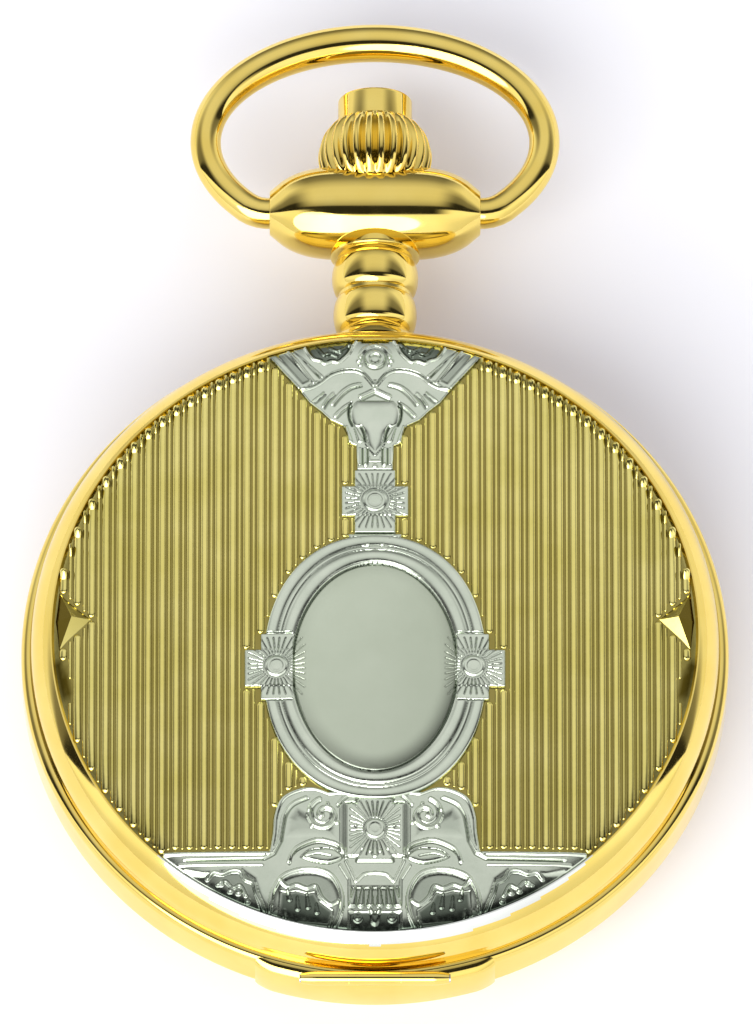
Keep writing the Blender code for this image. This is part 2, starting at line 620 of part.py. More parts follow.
# --- plates and bridges -----------------------------------------------------------------------------
def make_plates(brass, silver):
    slot = PLATE_SLOT_HALF
    rim_angle = degrees(acos(slot / PLATE_RADIUS))
    outline = arc((0.0, 0.0), PLATE_RADIUS, -180 - rim_angle, rim_angle, 40)
    outline += [(slot, PLATE_SLOT_FLOOR), (-slot, PLATE_SLOT_FLOOR)]
    bores = [circle(CENTRE_AXIS, 0.75, 14), circle(FOURTH_AXIS, 0.4, 10)]
    bores += [circle(post, 0.5, 10) for post in POSTS]
    main = plate("main_plate", [outline] + bores, PLATE_LOW, PLATE_HIGH, brass)

    start = degrees(atan2(BRIDGE_EDGE_Y, sqrt(BRIDGE_RADIUS ** 2 - BRIDGE_EDGE_Y ** 2)))
    outline = arc((0.0, 0.0), BRIDGE_RADIUS, start, 112, 22)
    outline += [(-4.6, BRIDGE_EDGE_Y + 7.0), (-1.2, BRIDGE_EDGE_Y)]
    loops = [outline, circle(BARREL_AXIS, 0.85, 14), circle(CROWN_WHEEL_AXIS, 4.65, 24)]
    loops += [circle(post, 0.65, 10) for post in BARREL_POSTS]
    barrel_bridge = plate("barrel_bridge", loops, *BARREL_BRIDGE, silver)

    outline = arc((0.0, 0.0), BRIDGE_RADIUS, -112, 1.5, 22) + [(-1.0, 0.4), (-3.4, -1.6)]
    outline += arc(BALANCE_AXIS, 6.0, 10, -62, 6)
    loops = [outline] + [circle(post, 0.65, 10) for post in TRAIN_POSTS]
    train_bridge = plate("train_bridge", loops, *TRAIN_BRIDGE, silver)

    outline = arc(BALANCE_AXIS, 2.3, -60, 60, 6)
    outline += [(-13.2, 4.4), (-15.4, 5.0), (-16.9, 0.5), (-14.6, -2.0)]
    loops = [outline, circle(BALANCE_AXIS, 0.4, 10), circle(COCK_POST, 0.65, 10)]
    cock = plate("balance_cock", loops, *BALANCE_COCK, silver)
    loops = [arc(BALANCE_AXIS, 1.1, 260, 530, 12) + [(-12.6, -4.9)], circle(BALANCE_AXIS, 0.45, 10)]
    regulator = plate("regulator", loops, -4.85, -4.55, brass)
    return main, barrel_bridge, train_bridge, cock, regulator


def make_posts(steel):
    """Bridge screws, each with the shoulder that carries its bridge off the main plate."""
    for index, post in enumerate(POSTS):
        if post in BARREL_POSTS:
            seat = BARREL_BRIDGE[0]
        elif post in TRAIN_POSTS:
            seat = TRAIN_BRIDGE[0]
        else:
            seat = BALANCE_COCK[0]
        profile = [(0.95, seat - 0.45), (0.95, seat - 0.1), (0.5, seat - 0.1), (0.5, 0.45), (0.35, 0.5),
                   (0.35, 1.0)]
        turned("bridge_screw_" + str(index + 1), profile, steel, centre=post, segments=12)


# --- winding and setting --------------------------------------------------------------------------------
def make_winding(steel):
    loops = [gear_outline(RATCHET_TEETH, 5.6, 0.5, BARREL_AXIS), circle(BARREL_AXIS, 0.7, 12)]
    ratchet = plate("ratchet_wheel", loops, -4.0, -3.65, steel, (*BARREL_AXIS, -4.0))
    loops = [gear_outline(CROWN_WHEEL_TEETH, 4.2, 0.5, CROWN_WHEEL_AXIS), circle(CROWN_WHEEL_AXIS, 1.2, 12)]
    crown_wheel = plate("crown_wheel", loops, -4.0, -1.95, steel, (*CROWN_WHEEL_AXIS, -4.0))
    loops = [arc(CLICK_AXIS, 0.9, 308, 548, 6) + [(12.7, 7.2)], circle(CLICK_AXIS, 0.35, 8)]
    click = plate("click", loops, -3.95, -3.65, steel, (*CLICK_AXIS, -3.95))
    profile = [(1.7, 13.3), (1.7, 14.7), (0.6, 14.7), (0.6, 13.3), (1.7, 13.3)]
    winding = turned("winding_pinion", profile, steel, axis="Y", origin=(0.0, 14.0, 0.0), segments=20)
    profile = [(0.45, 11.75), (1.35, 11.75), (1.35, 12.2), (0.9, 12.3), (0.9, 12.6), (1.35, 12.7),
               (1.35, 13.15), (0.45, 13.15), (0.45, 11.75)]
    clutch = turned("sliding_pinion", profile, steel, axis="Y", origin=(0.0, 12.4, 0.0), segments=20)
    outline = [(0.0, 15.1), (0.8, 15.3), (1.4, 15.0), (1.5, 16.5), (0.6, 16.8), (-0.8, 16.2)]
    lever = plate("setting_lever", [outline], 0.66, 0.95, steel, (1.0, 16.2, 0.8))
    hour = wheel("hour_wheel", 40, 2.8, 0.3, CENTRE_AXIS, 1.45, 1.7, 0.9, steel, spokes=0)
    stations = [(1.18, None), (1.38, None), (1.38, 0.8), (2.95, 0.8)]
    cannon = pinion("cannon_pinion", 12, 1.137, CENTRE_AXIS, stations, steel)
    core = turned("cannon_pinion_bore_cutter", [(0.37, 1.0), (0.37, 3.6)], steel, segments=12)
    add_boolean(cannon, "DIFFERENCE", core)
    minute = wheel("minute_wheel", 36, 3.41, 0.3, MINUTE_WHEEL_AXIS, 1.18, 1.38, 0.3, steel, spokes=0)
    return ratchet, crown_wheel, click, winding, clutch, lever, hour, cannon, minute


def build_watch():
    remove_scene_objects()
    gold = make_material("polished_gold", (0.83, 0.62, 0.22), 0.12, 1.0)
    relief_gold = make_material("relief_gold_and_rhodium", (0.78, 0.62, 0.25), 0.22, 1.0)
    steel = make_material("polished_steel", (0.58, 0.58, 0.60), 0.22, 1.0)
    blue = make_material("blued_steel", (0.04, 0.07, 0.30), 0.25, 1.0)
    brass = make_material("gilt_brass", (0.72, 0.55, 0.25), 0.30, 1.0)
    silver = make_material("rhodium_plate", (0.66, 0.67, 0.68), 0.28, 1.0)
    white = make_material("dial_enamel", (0.93, 0.92, 0.88), 0.30, 0.0)
    glass = make_material("mineral_glass", (0.85, 0.90, 0.92), 0.05, 0.0)
    make_case_band(gold)
    make_back_cover(gold)
    make_front_cover(gold, relief_gold)
    make_hinge(gold)
    make_glass_side(gold, steel, glass)
    make_pendant(gold)
    make_bow(gold)
    make_crown(gold, steel)
    make_dial_side(white, blue, silver)
    make_going_train(brass, steel)
    make_escapement(steel, gold)
    make_plates(brass, silver)
    make_posts(steel)
    make_winding(steel)


build_watch()
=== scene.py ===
"""Looks of the hunter-case pocket watch.

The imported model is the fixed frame.  Every length here is in millimetres in
the watch's own frame: X to three o'clock, Y to the pendant, Z out of the front
cover, measured from the plane of the winding stem.  MM and MID_Z turn that
into the frame's metres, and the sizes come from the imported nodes.
"""

import json
from math import atan2, copysign, cos, hypot, pi, radians, sin, sqrt, tan

import bmesh
import bpy
import numpy as np
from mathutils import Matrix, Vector


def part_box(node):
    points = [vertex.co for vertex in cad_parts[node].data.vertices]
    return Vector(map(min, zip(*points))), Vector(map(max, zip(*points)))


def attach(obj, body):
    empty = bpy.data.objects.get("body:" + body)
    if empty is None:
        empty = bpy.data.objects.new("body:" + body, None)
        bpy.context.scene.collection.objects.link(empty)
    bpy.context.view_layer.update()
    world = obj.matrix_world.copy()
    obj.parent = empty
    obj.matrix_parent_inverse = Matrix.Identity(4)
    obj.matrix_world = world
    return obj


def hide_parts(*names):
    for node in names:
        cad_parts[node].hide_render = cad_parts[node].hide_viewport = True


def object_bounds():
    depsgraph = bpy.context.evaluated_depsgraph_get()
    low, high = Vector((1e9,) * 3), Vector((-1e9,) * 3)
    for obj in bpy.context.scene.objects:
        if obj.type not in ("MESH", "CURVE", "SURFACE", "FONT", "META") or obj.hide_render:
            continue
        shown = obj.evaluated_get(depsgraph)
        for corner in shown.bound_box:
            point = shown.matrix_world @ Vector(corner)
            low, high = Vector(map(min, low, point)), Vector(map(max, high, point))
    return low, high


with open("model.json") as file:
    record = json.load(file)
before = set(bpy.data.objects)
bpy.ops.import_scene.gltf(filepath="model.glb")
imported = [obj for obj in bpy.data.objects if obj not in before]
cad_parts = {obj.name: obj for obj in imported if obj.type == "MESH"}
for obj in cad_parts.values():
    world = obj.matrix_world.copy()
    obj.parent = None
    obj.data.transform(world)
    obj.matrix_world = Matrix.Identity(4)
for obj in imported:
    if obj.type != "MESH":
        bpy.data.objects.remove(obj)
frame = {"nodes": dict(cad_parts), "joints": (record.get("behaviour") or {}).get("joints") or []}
CAD_LOW, CAD_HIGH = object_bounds()

MM = 0.001


# --- sizes read from the frame ---------------------------------------------------
def span(node, axis):
    """Lowest and highest coordinate of a node along an axis, in millimetres."""
    low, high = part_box(node)
    return low[axis] / MM, high[axis] / MM


MID_Z = sum(span("push_button", 2)) / 2
CASE_RADIUS = span("case_band", 0)[1]
BAND_LOW = span("case_band", 2)[0] - MID_Z
BAND_HIGH = span("case_band", 2)[1] - MID_Z
BACK_LOW = span("back_cover", 2)[0] - MID_Z
LIP_RADIUS = span("front_cover_rim", 0)[1]
RIM_LOW = span("front_cover_rim", 2)[0] - MID_Z
RIM_HIGH = span("front_cover_rim", 2)[1] - MID_Z
PANEL_RADIUS = span("front_cover_panel", 0)[1]
PANEL_TOP = span("front_cover_panel", 2)[1] - MID_Z
DIAL_RADIUS = span("dial", 0)[1]
DIAL_FACE = span("dial", 2)[1] - MID_Z
BARREL_HALF = span("pendant", 0)[1]
NECK_LOW = span("pendant", 1)[0]
BOW_RIGHT = span("bow", 0)[1]
BOW_TOP = span("bow", 1)[1]
CROWN_LOW, CROWN_HIGH = span("crown", 1)
BUTTON_RADIUS = span("push_button", 0)[1]
BOW_PIVOT = [joint for joint in frame["joints"] if joint["name"] == "bow_swing"][0]["pos_m"][1] / MM

PANEL_RISE = 1.40
SEGMENTS = 240


# --- meshes --------------------------------------------------------------------------
def new_piece(name, mesh, material, body, replaced=()):
    """Puts a finished mesh into the scene, riding on its body."""
    piece = bpy.data.objects.new(name, mesh)
    bpy.context.collection.objects.link(piece)
    for entry in material if isinstance(material, (list, tuple)) else [material]:
        mesh.materials.append(entry)
    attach(piece, body)
    if replaced:
        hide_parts(*replaced)
    return piece


def mesh_from(points, faces, smooth_angle=40):
    """Mesh from millimetre points, smooth except across edges sharper than the angle in degrees."""
    data = np.array(points, dtype=float)
    data[:, 2] += MID_Z
    mesh = bpy.data.meshes.new("mesh")
    mesh.from_pydata((data * MM).tolist(), [], [tuple(int(index) for index in face) for face in faces])
    mesh.validate()
    mesh.shade_smooth()
    if smooth_angle:
        mesh.set_sharp_from_angle(angle=radians(smooth_angle))
    return mesh


def face_outwards(mesh):
    """Turns every closed shell's faces outwards."""
    body = bmesh.new()
    body.from_mesh(mesh)
    bmesh.ops.recalc_face_normals(body, faces=body.faces[:])
    body.to_mesh(mesh)
    body.free()
    return mesh


def skin(rings, closed_rings=True, closed_path=False, capped=True):
    """Points and faces of a skin over rings of equal count; caps fan to each end's centre."""
    array = np.array(rings, dtype=float)
    rows, count = array.shape[:2]
    points = array.reshape(-1, 3).tolist()
    faces = []
    last_row = rows if closed_path else rows - 1
    last_column = count if closed_rings else count - 1
    for row in range(last_row):
        low = row * count
        high = ((row + 1) % rows) * count
        for index in range(last_column):
            after = (index + 1) % count
            faces.append((low + index, low + after, high + after, high + index))
    if capped and not closed_path:
        for start in (0, (rows - 1) * count):
            points.append(np.mean(array[start // count], axis=0).tolist())
            hub = len(points) - 1
            for index in range(last_column):
                faces.append((start + index, start + (index + 1) % count, hub))
    return points, faces


def place(across, up, along, axis):
    """A point from two cross-axis coordinates and one along the named axis."""
    if axis == "X":
        return (along, across, up)
    if axis == "Y":
        return (across, along, up)
    return (across, up, along)


def lathe(profile, axis="Z", centre=(0.0, 0.0), segments=SEGMENTS, ring=False, smooth_angle=40):
    """Turned mesh from (radius, position) points; ring joins the profile's end to its start."""
    angles = [2 * pi * index / segments for index in range(segments)]
    rings = [[place(centre[0] + radius * cos(a), centre[1] + radius * sin(a), along, axis) for a in angles]
             for radius, along in profile]
    points, faces = skin(rings, closed_path=ring)
    return face_outwards(mesh_from(points, faces, smooth_angle))


def filleted(points, radius, steps=5):
    """The polyline with each inner corner rounded by a circular arc."""
    result = [points[0]]
    for before, corner, after in zip(points, points[1:], points[2:]):
        b, c, a = Vector(before), Vector(corner), Vector(after)
        u, v = (b - c), (a - c)
        angle = u.angle(v)
        if angle > radians(172) or radius <= 0:
            result.append(corner)
            continue
        cut = min(radius / tan(angle / 2), u.length * 0.48, v.length * 0.48)
        start, end = c + u.normalized() * cut, c + v.normalized() * cut
        for index in range(steps + 1):
            t = index / steps
            point = start.lerp(c, t).lerp(c.lerp(end, t), t)
            result.append((point.x, point.y))
    result.append(points[-1])
    return result


def bulged(start, end, bulge, steps):
    """Points from start to end on a shallow curve that bows out by bulge on its left."""
    a, b = Vector(start), Vector(end)
    run = b - a
    side = Vector((-run.y, run.x)).normalized()
    points = []
    for index in range(steps + 1):
        t = index / steps
        point = a + run * t + side * (4 * bulge * t * (1 - t))
        points.append((point.x, point.y))
    return points


def circle_points(centre, radius, count):
    """Points round a circle."""
    turns = [2 * pi * index / count for index in range(count)]
    return [(centre[0] + radius * cos(turn), centre[1] + radius * sin(turn)) for turn in turns]


# --- materials ----------------------------------------------------------------------------
class Surface:
    """A node-built Principled material, with short calls for the patterns that the metals share."""

    def __init__(self, name, metallic=1.0):
        self.material = bpy.data.materials.new(name)
        self.material.use_nodes = True
        self.nodes = self.material.node_tree.nodes
        self.links = self.material.node_tree.links
        self.shader = self.nodes["Principled BSDF"]
        self.shader.inputs["Metallic"].default_value = metallic
        self.place = self.nodes.new("ShaderNodeTexCoord").outputs["Object"]

    def set(self, socket, value):
        self.shader.inputs[socket].default_value = value

    def noise(self, per_mm, detail=3.0, stretch=(1.0, 1.0, 1.0)):
        """Noise with about this many features per millimetre."""
        mapping = self.nodes.new("ShaderNodeMapping")
        mapping.inputs["Scale"].default_value = [per_mm / MM * share for share in stretch]
        self.links.new(self.place, mapping.inputs["Vector"])
        texture = self.nodes.new("ShaderNodeTexNoise")
        texture.inputs["Scale"].default_value = 1.0
        texture.inputs["Detail"].default_value = detail
        self.links.new(mapping.outputs["Vector"], texture.inputs["Vector"])
        return texture.outputs["Fac"]

    def spread(self, value, low, high, start=0.3, end=0.7):
        """Maps a pattern's middle range onto low..high."""
        node = self.nodes.new("ShaderNodeMapRange")
        node.inputs["From Min"].default_value = start
        node.inputs["From Max"].default_value = end
        node.inputs["To Min"].default_value = low
        node.inputs["To Max"].default_value = high
        self.links.new(value, node.inputs["Value"])
        return node.outputs["Result"]

    def blend(self, share, first, second):
        """Mixes two colours, each an RGB triple or a socket."""
        node = self.nodes.new("ShaderNodeMix")
        node.data_type = "RGBA"
        self.links.new(share, node.inputs["Factor"])
        for socket, colour in ((node.inputs[6], first), (node.inputs[7], second)):
            if isinstance(colour, tuple):
                socket.default_value = (*colour, 1.0)
            else:
                self.links.new(colour, socket)
        return node.outputs[2]

    def mottled(self, per_mm, first, second):
        """Soft patches of two colours."""
        return self.blend(self.spread(self.noise(per_mm), 0.0, 1.0), first, second)

    def attribute(self, name):
        """A per-vertex number stored on the mesh."""
        node = self.nodes.new("ShaderNodeAttribute")
        node.attribute_name = name
        return node.outputs["Fac"]

    def colour(self, socket):
        self.links.new(socket, self.shader.inputs["Base Color"])

    def roughness(self, socket):
        self.links.new(socket, self.shader.inputs["Roughness"])

    def bump(self, height, distance_mm, strength=1.0):
        node = self.nodes.new("ShaderNodeBump")
        node.inputs["Strength"].default_value = strength
        node.inputs["Distance"].default_value = distance_mm * MM
        self.links.new(height, node.inputs["Height"])
        self.links.new(node.outputs["Normal"], self.shader.inputs["Normal"])


GOLD_BRIGHT = (0.95, 0.74, 0.215)
GOLD_DEEP = (0.90, 0.67, 0.16)
RELIEF_BRIGHT = (0.97, 0.85, 0.30)
RELIEF_DEEP = (0.84, 0.73, 0.21)
RHODIUM_BRIGHT = (0.76, 0.82, 0.69)
RHODIUM_DEEP = (0.68, 0.75, 0.62)


def polished_gold():
    """Mirror-polished gold plate with faint handling haze."""
    surface = Surface("polished_gold")
    surface.colour(surface.mottled(0.25, GOLD_BRIGHT, GOLD_DEEP))
    surface.roughness(surface.spread(surface.noise(0.9, 5.0), 0.045, 0.10))
    surface.bump(surface.noise(2.2, 2.0), 0.0012, 0.35)
    return surface.material


def relief_gold():
    """Gold of the pressed cover, darker where painted shade is laid in its grooves, hollows and shaded faces.
    """
    surface = Surface("relief_gold")
    bright = surface.mottled(0.3, RELIEF_BRIGHT, RELIEF_DEEP)
    # The recess value blends the gold towards near-black brown: painted shade in grooves, hollows and faces
    # turned from the light.
    surface.colour(surface.blend(surface.attribute("recess"), bright, (0.13, 0.095, 0.012)))
    surface.roughness(surface.spread(surface.noise(3.0, 5.0), 0.09, 0.18))
    surface.bump(surface.noise(2.6, 3.0), 0.012, 0.6)
    return surface.material


def rhodium():
    """Cool rhodium plate of the ornament, with painted shade in its recesses and along its shaded edges."""
    surface = Surface("rhodium_relief")
    bright = surface.mottled(0.5, RHODIUM_BRIGHT, RHODIUM_DEEP)
    # The recess value blends the plate towards dark grey-green: painted shade.
    surface.colour(surface.blend(surface.attribute("recess"), bright, (0.10, 0.125, 0.095)))
    surface.roughness(surface.spread(surface.noise(3.0, 5.0), 0.13, 0.24))
    surface.bump(surface.noise(4.0, 3.0), 0.006, 0.4)
    return surface.material


def satin_rhodium():
    """Fine satin finish of the blank cartouche, with painted shadow and shade from the recess value."""
    surface = Surface("satin_rhodium")
    plain = surface.mottled(0.2, (0.70, 0.77, 0.62), (0.64, 0.71, 0.56))
    # The recess value blends the satin towards near black: painted shadow along the field's edge and painted
    # shade across it.
    surface.colour(surface.blend(surface.attribute("recess"), plain, (0.02, 0.025, 0.018)))
    surface.roughness(surface.spread(surface.noise(6.0, 4.0), 0.30, 0.40))
    surface.bump(surface.noise(14.0, 2.0, (1.0, 0.12, 1.0)), 0.004, 0.5)
    return surface.material


def polished_rhodium():
    """Bright plated edge below the ornament."""
    surface = Surface("polished_rhodium")
    surface.colour(surface.mottled(0.25, (0.86, 0.88, 0.85), (0.78, 0.80, 0.77)))
    surface.roughness(surface.spread(surface.noise(0.9, 5.0), 0.05, 0.11))
    surface.bump(surface.noise(2.2, 2.0), 0.0012, 0.35)
    return surface.material


def steel():
    """Polished steel of springs, arbors and wheels."""
    surface = Surface("polished_steel")
    surface.colour(surface.blend(surface.noise(0.6), (0.60, 0.61, 0.64), (0.50, 0.51, 0.53)))
    surface.roughness(surface.spread(surface.noise(5.0, 4.0, (1.0, 0.15, 1.0)), 0.16, 0.30))
    surface.bump(surface.noise(9.0, 2.0, (1.0, 0.1, 1.0)), 0.004, 0.4)
    return surface.material


def blued_steel():
    """Heat-blued steel of the hands."""
    surface = Surface("blued_steel")
    surface.colour(surface.mottled(0.5, (0.02, 0.05, 0.32), (0.05, 0.04, 0.22)))
    surface.roughness(surface.spread(surface.noise(4.0), 0.14, 0.24))
    surface.bump(surface.noise(6.0), 0.003, 0.4)
    return surface.material


def gilt_brass():
    """Frosted gilding of plates and wheels."""
    surface = Surface("gilt_brass")
    surface.colour(surface.mottled(0.8, (0.80, 0.60, 0.26), (0.68, 0.48, 0.18)))
    surface.roughness(surface.spread(surface.noise(6.0, 5.0), 0.26, 0.42))
    surface.bump(surface.noise(18.0, 3.0), 0.006, 0.5)
    return surface.material


def striped_rhodium():
    """Rhodium-plated bridges with the usual broad decorative stripes."""
    surface = Surface("striped_rhodium")
    mapping = surface.nodes.new("ShaderNodeMapping")
    mapping.inputs["Rotation"].default_value = (0.0, 0.0, radians(28))
    surface.links.new(surface.place, mapping.inputs["Vector"])
    wave = surface.nodes.new("ShaderNodeTexWave")
    wave.wave_profile = "SAW"
    wave.inputs["Scale"].default_value = 0.12 / MM
    wave.inputs["Distortion"].default_value = 0.0
    surface.links.new(mapping.outputs["Vector"], wave.inputs["Vector"])
    surface.colour(surface.blend(wave.outputs["Fac"], (0.66, 0.67, 0.69), (0.50, 0.51, 0.53)))
    surface.roughness(surface.spread(surface.noise(7.0, 4.0, (0.2, 1.0, 1.0)), 0.20, 0.36))
    surface.bump(wave.outputs["Fac"], 0.02, 0.5)
    return surface.material


def dial_enamel():
    """White enamel with the faintest mottling."""
    surface = Surface("dial_enamel", metallic=0.0)
    surface.colour(surface.mottled(0.4, (0.90, 0.89, 0.85), (0.84, 0.83, 0.79)))
    surface.roughness(surface.spread(surface.noise(2.0), 0.16, 0.26))
    surface.bump(surface.noise(3.0), 0.002, 0.3)
    surface.set("Coat Weight", 0.4)
    return surface.material


def dial_ink():
    """Black fired numerals and minute track."""
    surface = Surface("dial_ink", metallic=0.0)
    surface.colour(surface.blend(surface.noise(3.0), (0.015, 0.015, 0.02), (0.035, 0.035, 0.04)))
    surface.roughness(surface.spread(surface.noise(5.0), 0.28, 0.42))
    return surface.material


def watch_glass():
    """Clear domed crystal."""
    surface = Surface("watch_glass", metallic=0.0)
    surface.set("Base Color", (0.97, 0.99, 0.98, 1.0))
    surface.set("Transmission Weight", 1.0)
    surface.set("IOR", 1.45)
    surface.roughness(surface.spread(surface.noise(1.0, 4.0), 0.0, 0.02))
    return surface.material


GOLD = polished_gold()
RELIEF_GOLD = relief_gold()
RHODIUM = rhodium()
SATIN = satin_rhodium()
BRIGHT_RHODIUM = polished_rhodium()
STEEL = steel()
BLUED = blued_steel()
BRASS = gilt_brass()
STRIPED = striped_rhodium()
ENAMEL = dial_enamel()
INK = dial_ink()
GLASS = watch_glass()


def gold_piece(name, mesh, body, replaced):
    """A piece of mirror-polished gold plate."""
    return new_piece(name, mesh, GOLD, body, replaced)


def cover_piece(name, mesh, material, replaced=()):
    """A piece of the pressed cover."""
    return new_piece(name, mesh, material, "front_cover", replaced)


def carve(piece, *tools):
    """Joins a piece with each (mesh, boolean operation) in turn and keeps the finished mesh."""
    solids = []
    for mesh, operation in tools:
        solid = bpy.data.objects.new(operation, mesh)
        bpy.context.collection.objects.link(solid)
        step = piece.modifiers.new(operation, "BOOLEAN")
        step.operation = operation
        step.object = solid
        solids.append(solid)
    graph = bpy.context.evaluated_depsgraph_get()
    finished = bpy.data.meshes.new_from_object(piece.evaluated_get(graph))
    piece.modifiers.clear()
    piece.data = finished
    finished.set_sharp_from_angle(angle=radians(40))
    for solid in solids:
        bpy.data.objects.remove(solid, do_unlink=True)


# --- case ------------------------------------------------------------------------------------
BAND_WALL = 3.0
BAND_FILLET = 0.62
STEM_HOLE = 0.8
HUB_RADIUS = 0.4
BACK_FLAT = 14.0
BACK_WALL = 0.55
CRESCENT_HALF = radians(42)
CRESCENT_WIDTH = 0.66
CRESCENT_LOW = 3.4


def make_band():
    """Band with softly rounded edges and the hole that the stem passes."""
    bore = CASE_RADIUS - BAND_WALL
    section = [(bore, BAND_LOW), (CASE_RADIUS, BAND_LOW), (CASE_RADIUS, BAND_HIGH), (bore, BAND_HIGH)]
    band = gold_piece("band", lathe(filleted(section, BAND_FILLET, 10), ring=True), "case", ["case_band"])
    hole = lathe([(STEM_HOLE, bore - 2.0), (STEM_HOLE, CASE_RADIUS + 2.0)], axis="Y", segments=48)
    carve(band, (hole, "DIFFERENCE"))


def shoulder(sign):
    """Convex polished shoulder between the cover's lip and the edge of its panel."""
    lip = (LIP_RADIUS, sign * (RIM_LOW + 0.30))
    edge = (PANEL_RADIUS + 0.10, sign * (PANEL_TOP - PANEL_RISE))
    return bulged(lip, edge, -0.36 * sign, 18)


def make_back():
    """Back shell: a nearly flat middle, a shoulder like the cover's, and a stepped lip inside."""
    outer = shoulder(-1)
    swell = bulged(outer[-1], (BACK_FLAT, BACK_LOW), 0.24, 16)
    seam = BAND_LOW - 0.12
    inside = BACK_LOW + BACK_WALL
    lip = [(LIP_RADIUS - 0.02, seam), (20.85, seam), (20.85, -1.25), (20.45, -1.25), (20.45, -3.2),
           (21.3, BACK_LOW + 2.1), (BACK_FLAT, inside), (HUB_RADIUS, inside)]
    profile = [(HUB_RADIUS, BACK_LOW)] + list(reversed(swell)) + list(reversed(outer))[1:] + lip
    gold_piece("back_shell", lathe(profile), "case", ["back_cover"])


def make_cover_rim():
    """Rim of the front cover; its upper shoulder is rhodium plated in a crescent under the ornament."""
    seam = BAND_HIGH + 0.07
    outer = shoulder(1)
    edge = outer[-1][0]
    inner = [(edge - 0.10, RIM_HIGH - 0.02), (edge - 0.12, RIM_HIGH - 0.62), (21.25, RIM_HIGH - 0.78),
             (21.3, RIM_HIGH - 0.95), (22.35, 3.3), (22.6, RIM_LOW), (22.8, seam), (LIP_RADIUS + 0.02, seam),
             (LIP_RADIUS + 0.07, seam + 0.06), (LIP_RADIUS + 0.04, RIM_LOW + 0.12)]
    mesh = lathe(outer + inner, ring=True, segments=360)
    new_piece("cover_rim", mesh, [GOLD, BRIGHT_RHODIUM], "front_cover", ["front_cover_rim"])
    for polygon in mesh.polygons:
        x, y, z = (value / MM for value in polygon.center)
        share = abs(atan2(x, -y)) / CRESCENT_HALF
        limit = PANEL_RADIUS + 0.12 + CRESCENT_WIDTH * max(0.0, 1 - share ** 2)
        if share < 1 and hypot(x, y) < limit and z - MID_Z > CRESCENT_LOW:
            polygon.material_index = 1


# --- pendant, bow, crown -----------------------------------------------------------------------
NECK_BEADS = ((25.85, 1.26, 2.86, 2.50), (28.62, 1.30, 2.96, 2.52))
NECK_BORE = 0.85
BARREL_REACH = 3.24
BARREL_END = 1.50
BARREL_FULLNESS = 4.2
SOCKET_RADIUS = 1.3
SOCKET_DEPTH = 1.5
BOW_MIDDLE = 38.9
BOW_TUBE = 1.05
BOW_SWELL = 0.25
BOW_END_TUBE = 1.08
BOW_SIDES = 40
CROWN_FLUTES = 26
POINTS_PER_FLUTE = 12
CROWN_OUTLINE = [(2.8, 0.0), (3.38, 0.12), (3.72, 0.29), (3.88, 0.46), (3.84, 0.62), (3.6, 0.79), (3.2, 0.93),
                 (2.88, 1.0)]
FLUTE_DEPTH = 0.40
FLUTE_SHARPNESS = 4.0
STEM_BORE = 0.56


def neck_profile():
    """Two round beads with a waist between them and a small cove under the barrel."""
    beads = []
    for centre, half, reach, waist in NECK_BEADS:
        for step in range(17):
            t = -1 + 2 * step / 16
            beads.append((waist + (reach - waist) * (1 - t * t) ** 0.62, centre + half * t))
    return [(2.9, NECK_LOW - 0.55), (2.62, NECK_LOW + 0.1), (2.32, NECK_LOW + 0.35)] + beads + \
        [(2.66, 29.98), (2.92, 30.06), (3.04, 30.2), (2.98, 30.36), (2.2, 30.6), (2.1, 31.4)]


def barrel_profile():
    """Barrel that swells between its rounded ends, with a socket for the bow in each end."""
    swell = []
    for step in range(33):
        t = -1 + 2 * step / 32
        radius = BARREL_END + (BARREL_REACH - BARREL_END) * (1 - abs(t) ** BARREL_FULLNESS)
        swell.append((radius, BARREL_HALF * t))
    left = filleted([(SOCKET_RADIUS, -BARREL_HALF), (BARREL_END, -BARREL_HALF), swell[2]], 0.12, 4)
    right = filleted([swell[-3], (BARREL_END, BARREL_HALF), (SOCKET_RADIUS, BARREL_HALF)], 0.12, 4)
    floor = BARREL_HALF - SOCKET_DEPTH
    return [(0.3, -floor), (SOCKET_RADIUS, -floor)] + left[:-1] + swell[2:-2] + right[1:] + \
        [(SOCKET_RADIUS, floor), (0.3, floor)]


def make_pendant():
    """Beaded neck and cross barrel in one casting, hollowed for the stem and the crown."""
    neck = gold_piece("pendant_body", lathe(neck_profile(), axis="Y", segments=96), "case", ["pendant"])
    barrel = lathe(barrel_profile(), axis="X", centre=(BOW_PIVOT, 0.0), segments=96)
    bore = lathe([(NECK_BORE, NECK_LOW - 2.0), (NECK_BORE, 38.0)], axis="Y", segments=32)
    cup_profile = [(2.45, CROWN_LOW - 0.3), (3.65, CROWN_LOW + 0.65), (4.2, CROWN_LOW + 1.6)]
    cup = lathe(cup_profile, axis="Y", segments=64)
    carve(neck, (barrel, "UNION"), (bore, "DIFFERENCE"), (cup, "DIFFERENCE"))


def bow_path():
    """Places along the bow with the tube's radius at each: socket, turn, oval, turn, socket."""
    half_width = BOW_RIGHT - BOW_TUBE
    half_height = BOW_TOP - BOW_TUBE - BOW_SWELL - BOW_MIDDLE
    oval = []
    for index in range(121):
        angle = radians(218 - 256 * index / 120)
        tube = BOW_TUBE + BOW_SWELL * max(0.0, sin(angle)) ** 1.5
        oval.append(((half_width * cos(angle), BOW_MIDDLE + half_height * sin(angle)), tube))
    mouth = Vector((-BARREL_HALF - 0.25, BOW_PIVOT))
    knee = Vector((-BARREL_HALF - 1.15, BOW_PIVOT + 0.04))
    start = Vector(oval[0][0])
    turn = [((1.2 - BARREL_HALF, BOW_PIVOT), BOW_END_TUBE), (tuple(mouth), BOW_END_TUBE)]
    for step in (0.25, 0.5, 0.75):
        turn.append((tuple(mouth.lerp(knee, step).lerp(knee.lerp(start, step), step)), BOW_END_TUBE - 0.01))
    return turn + oval + [((-x, y), tube) for (x, y), tube in reversed(turn)]


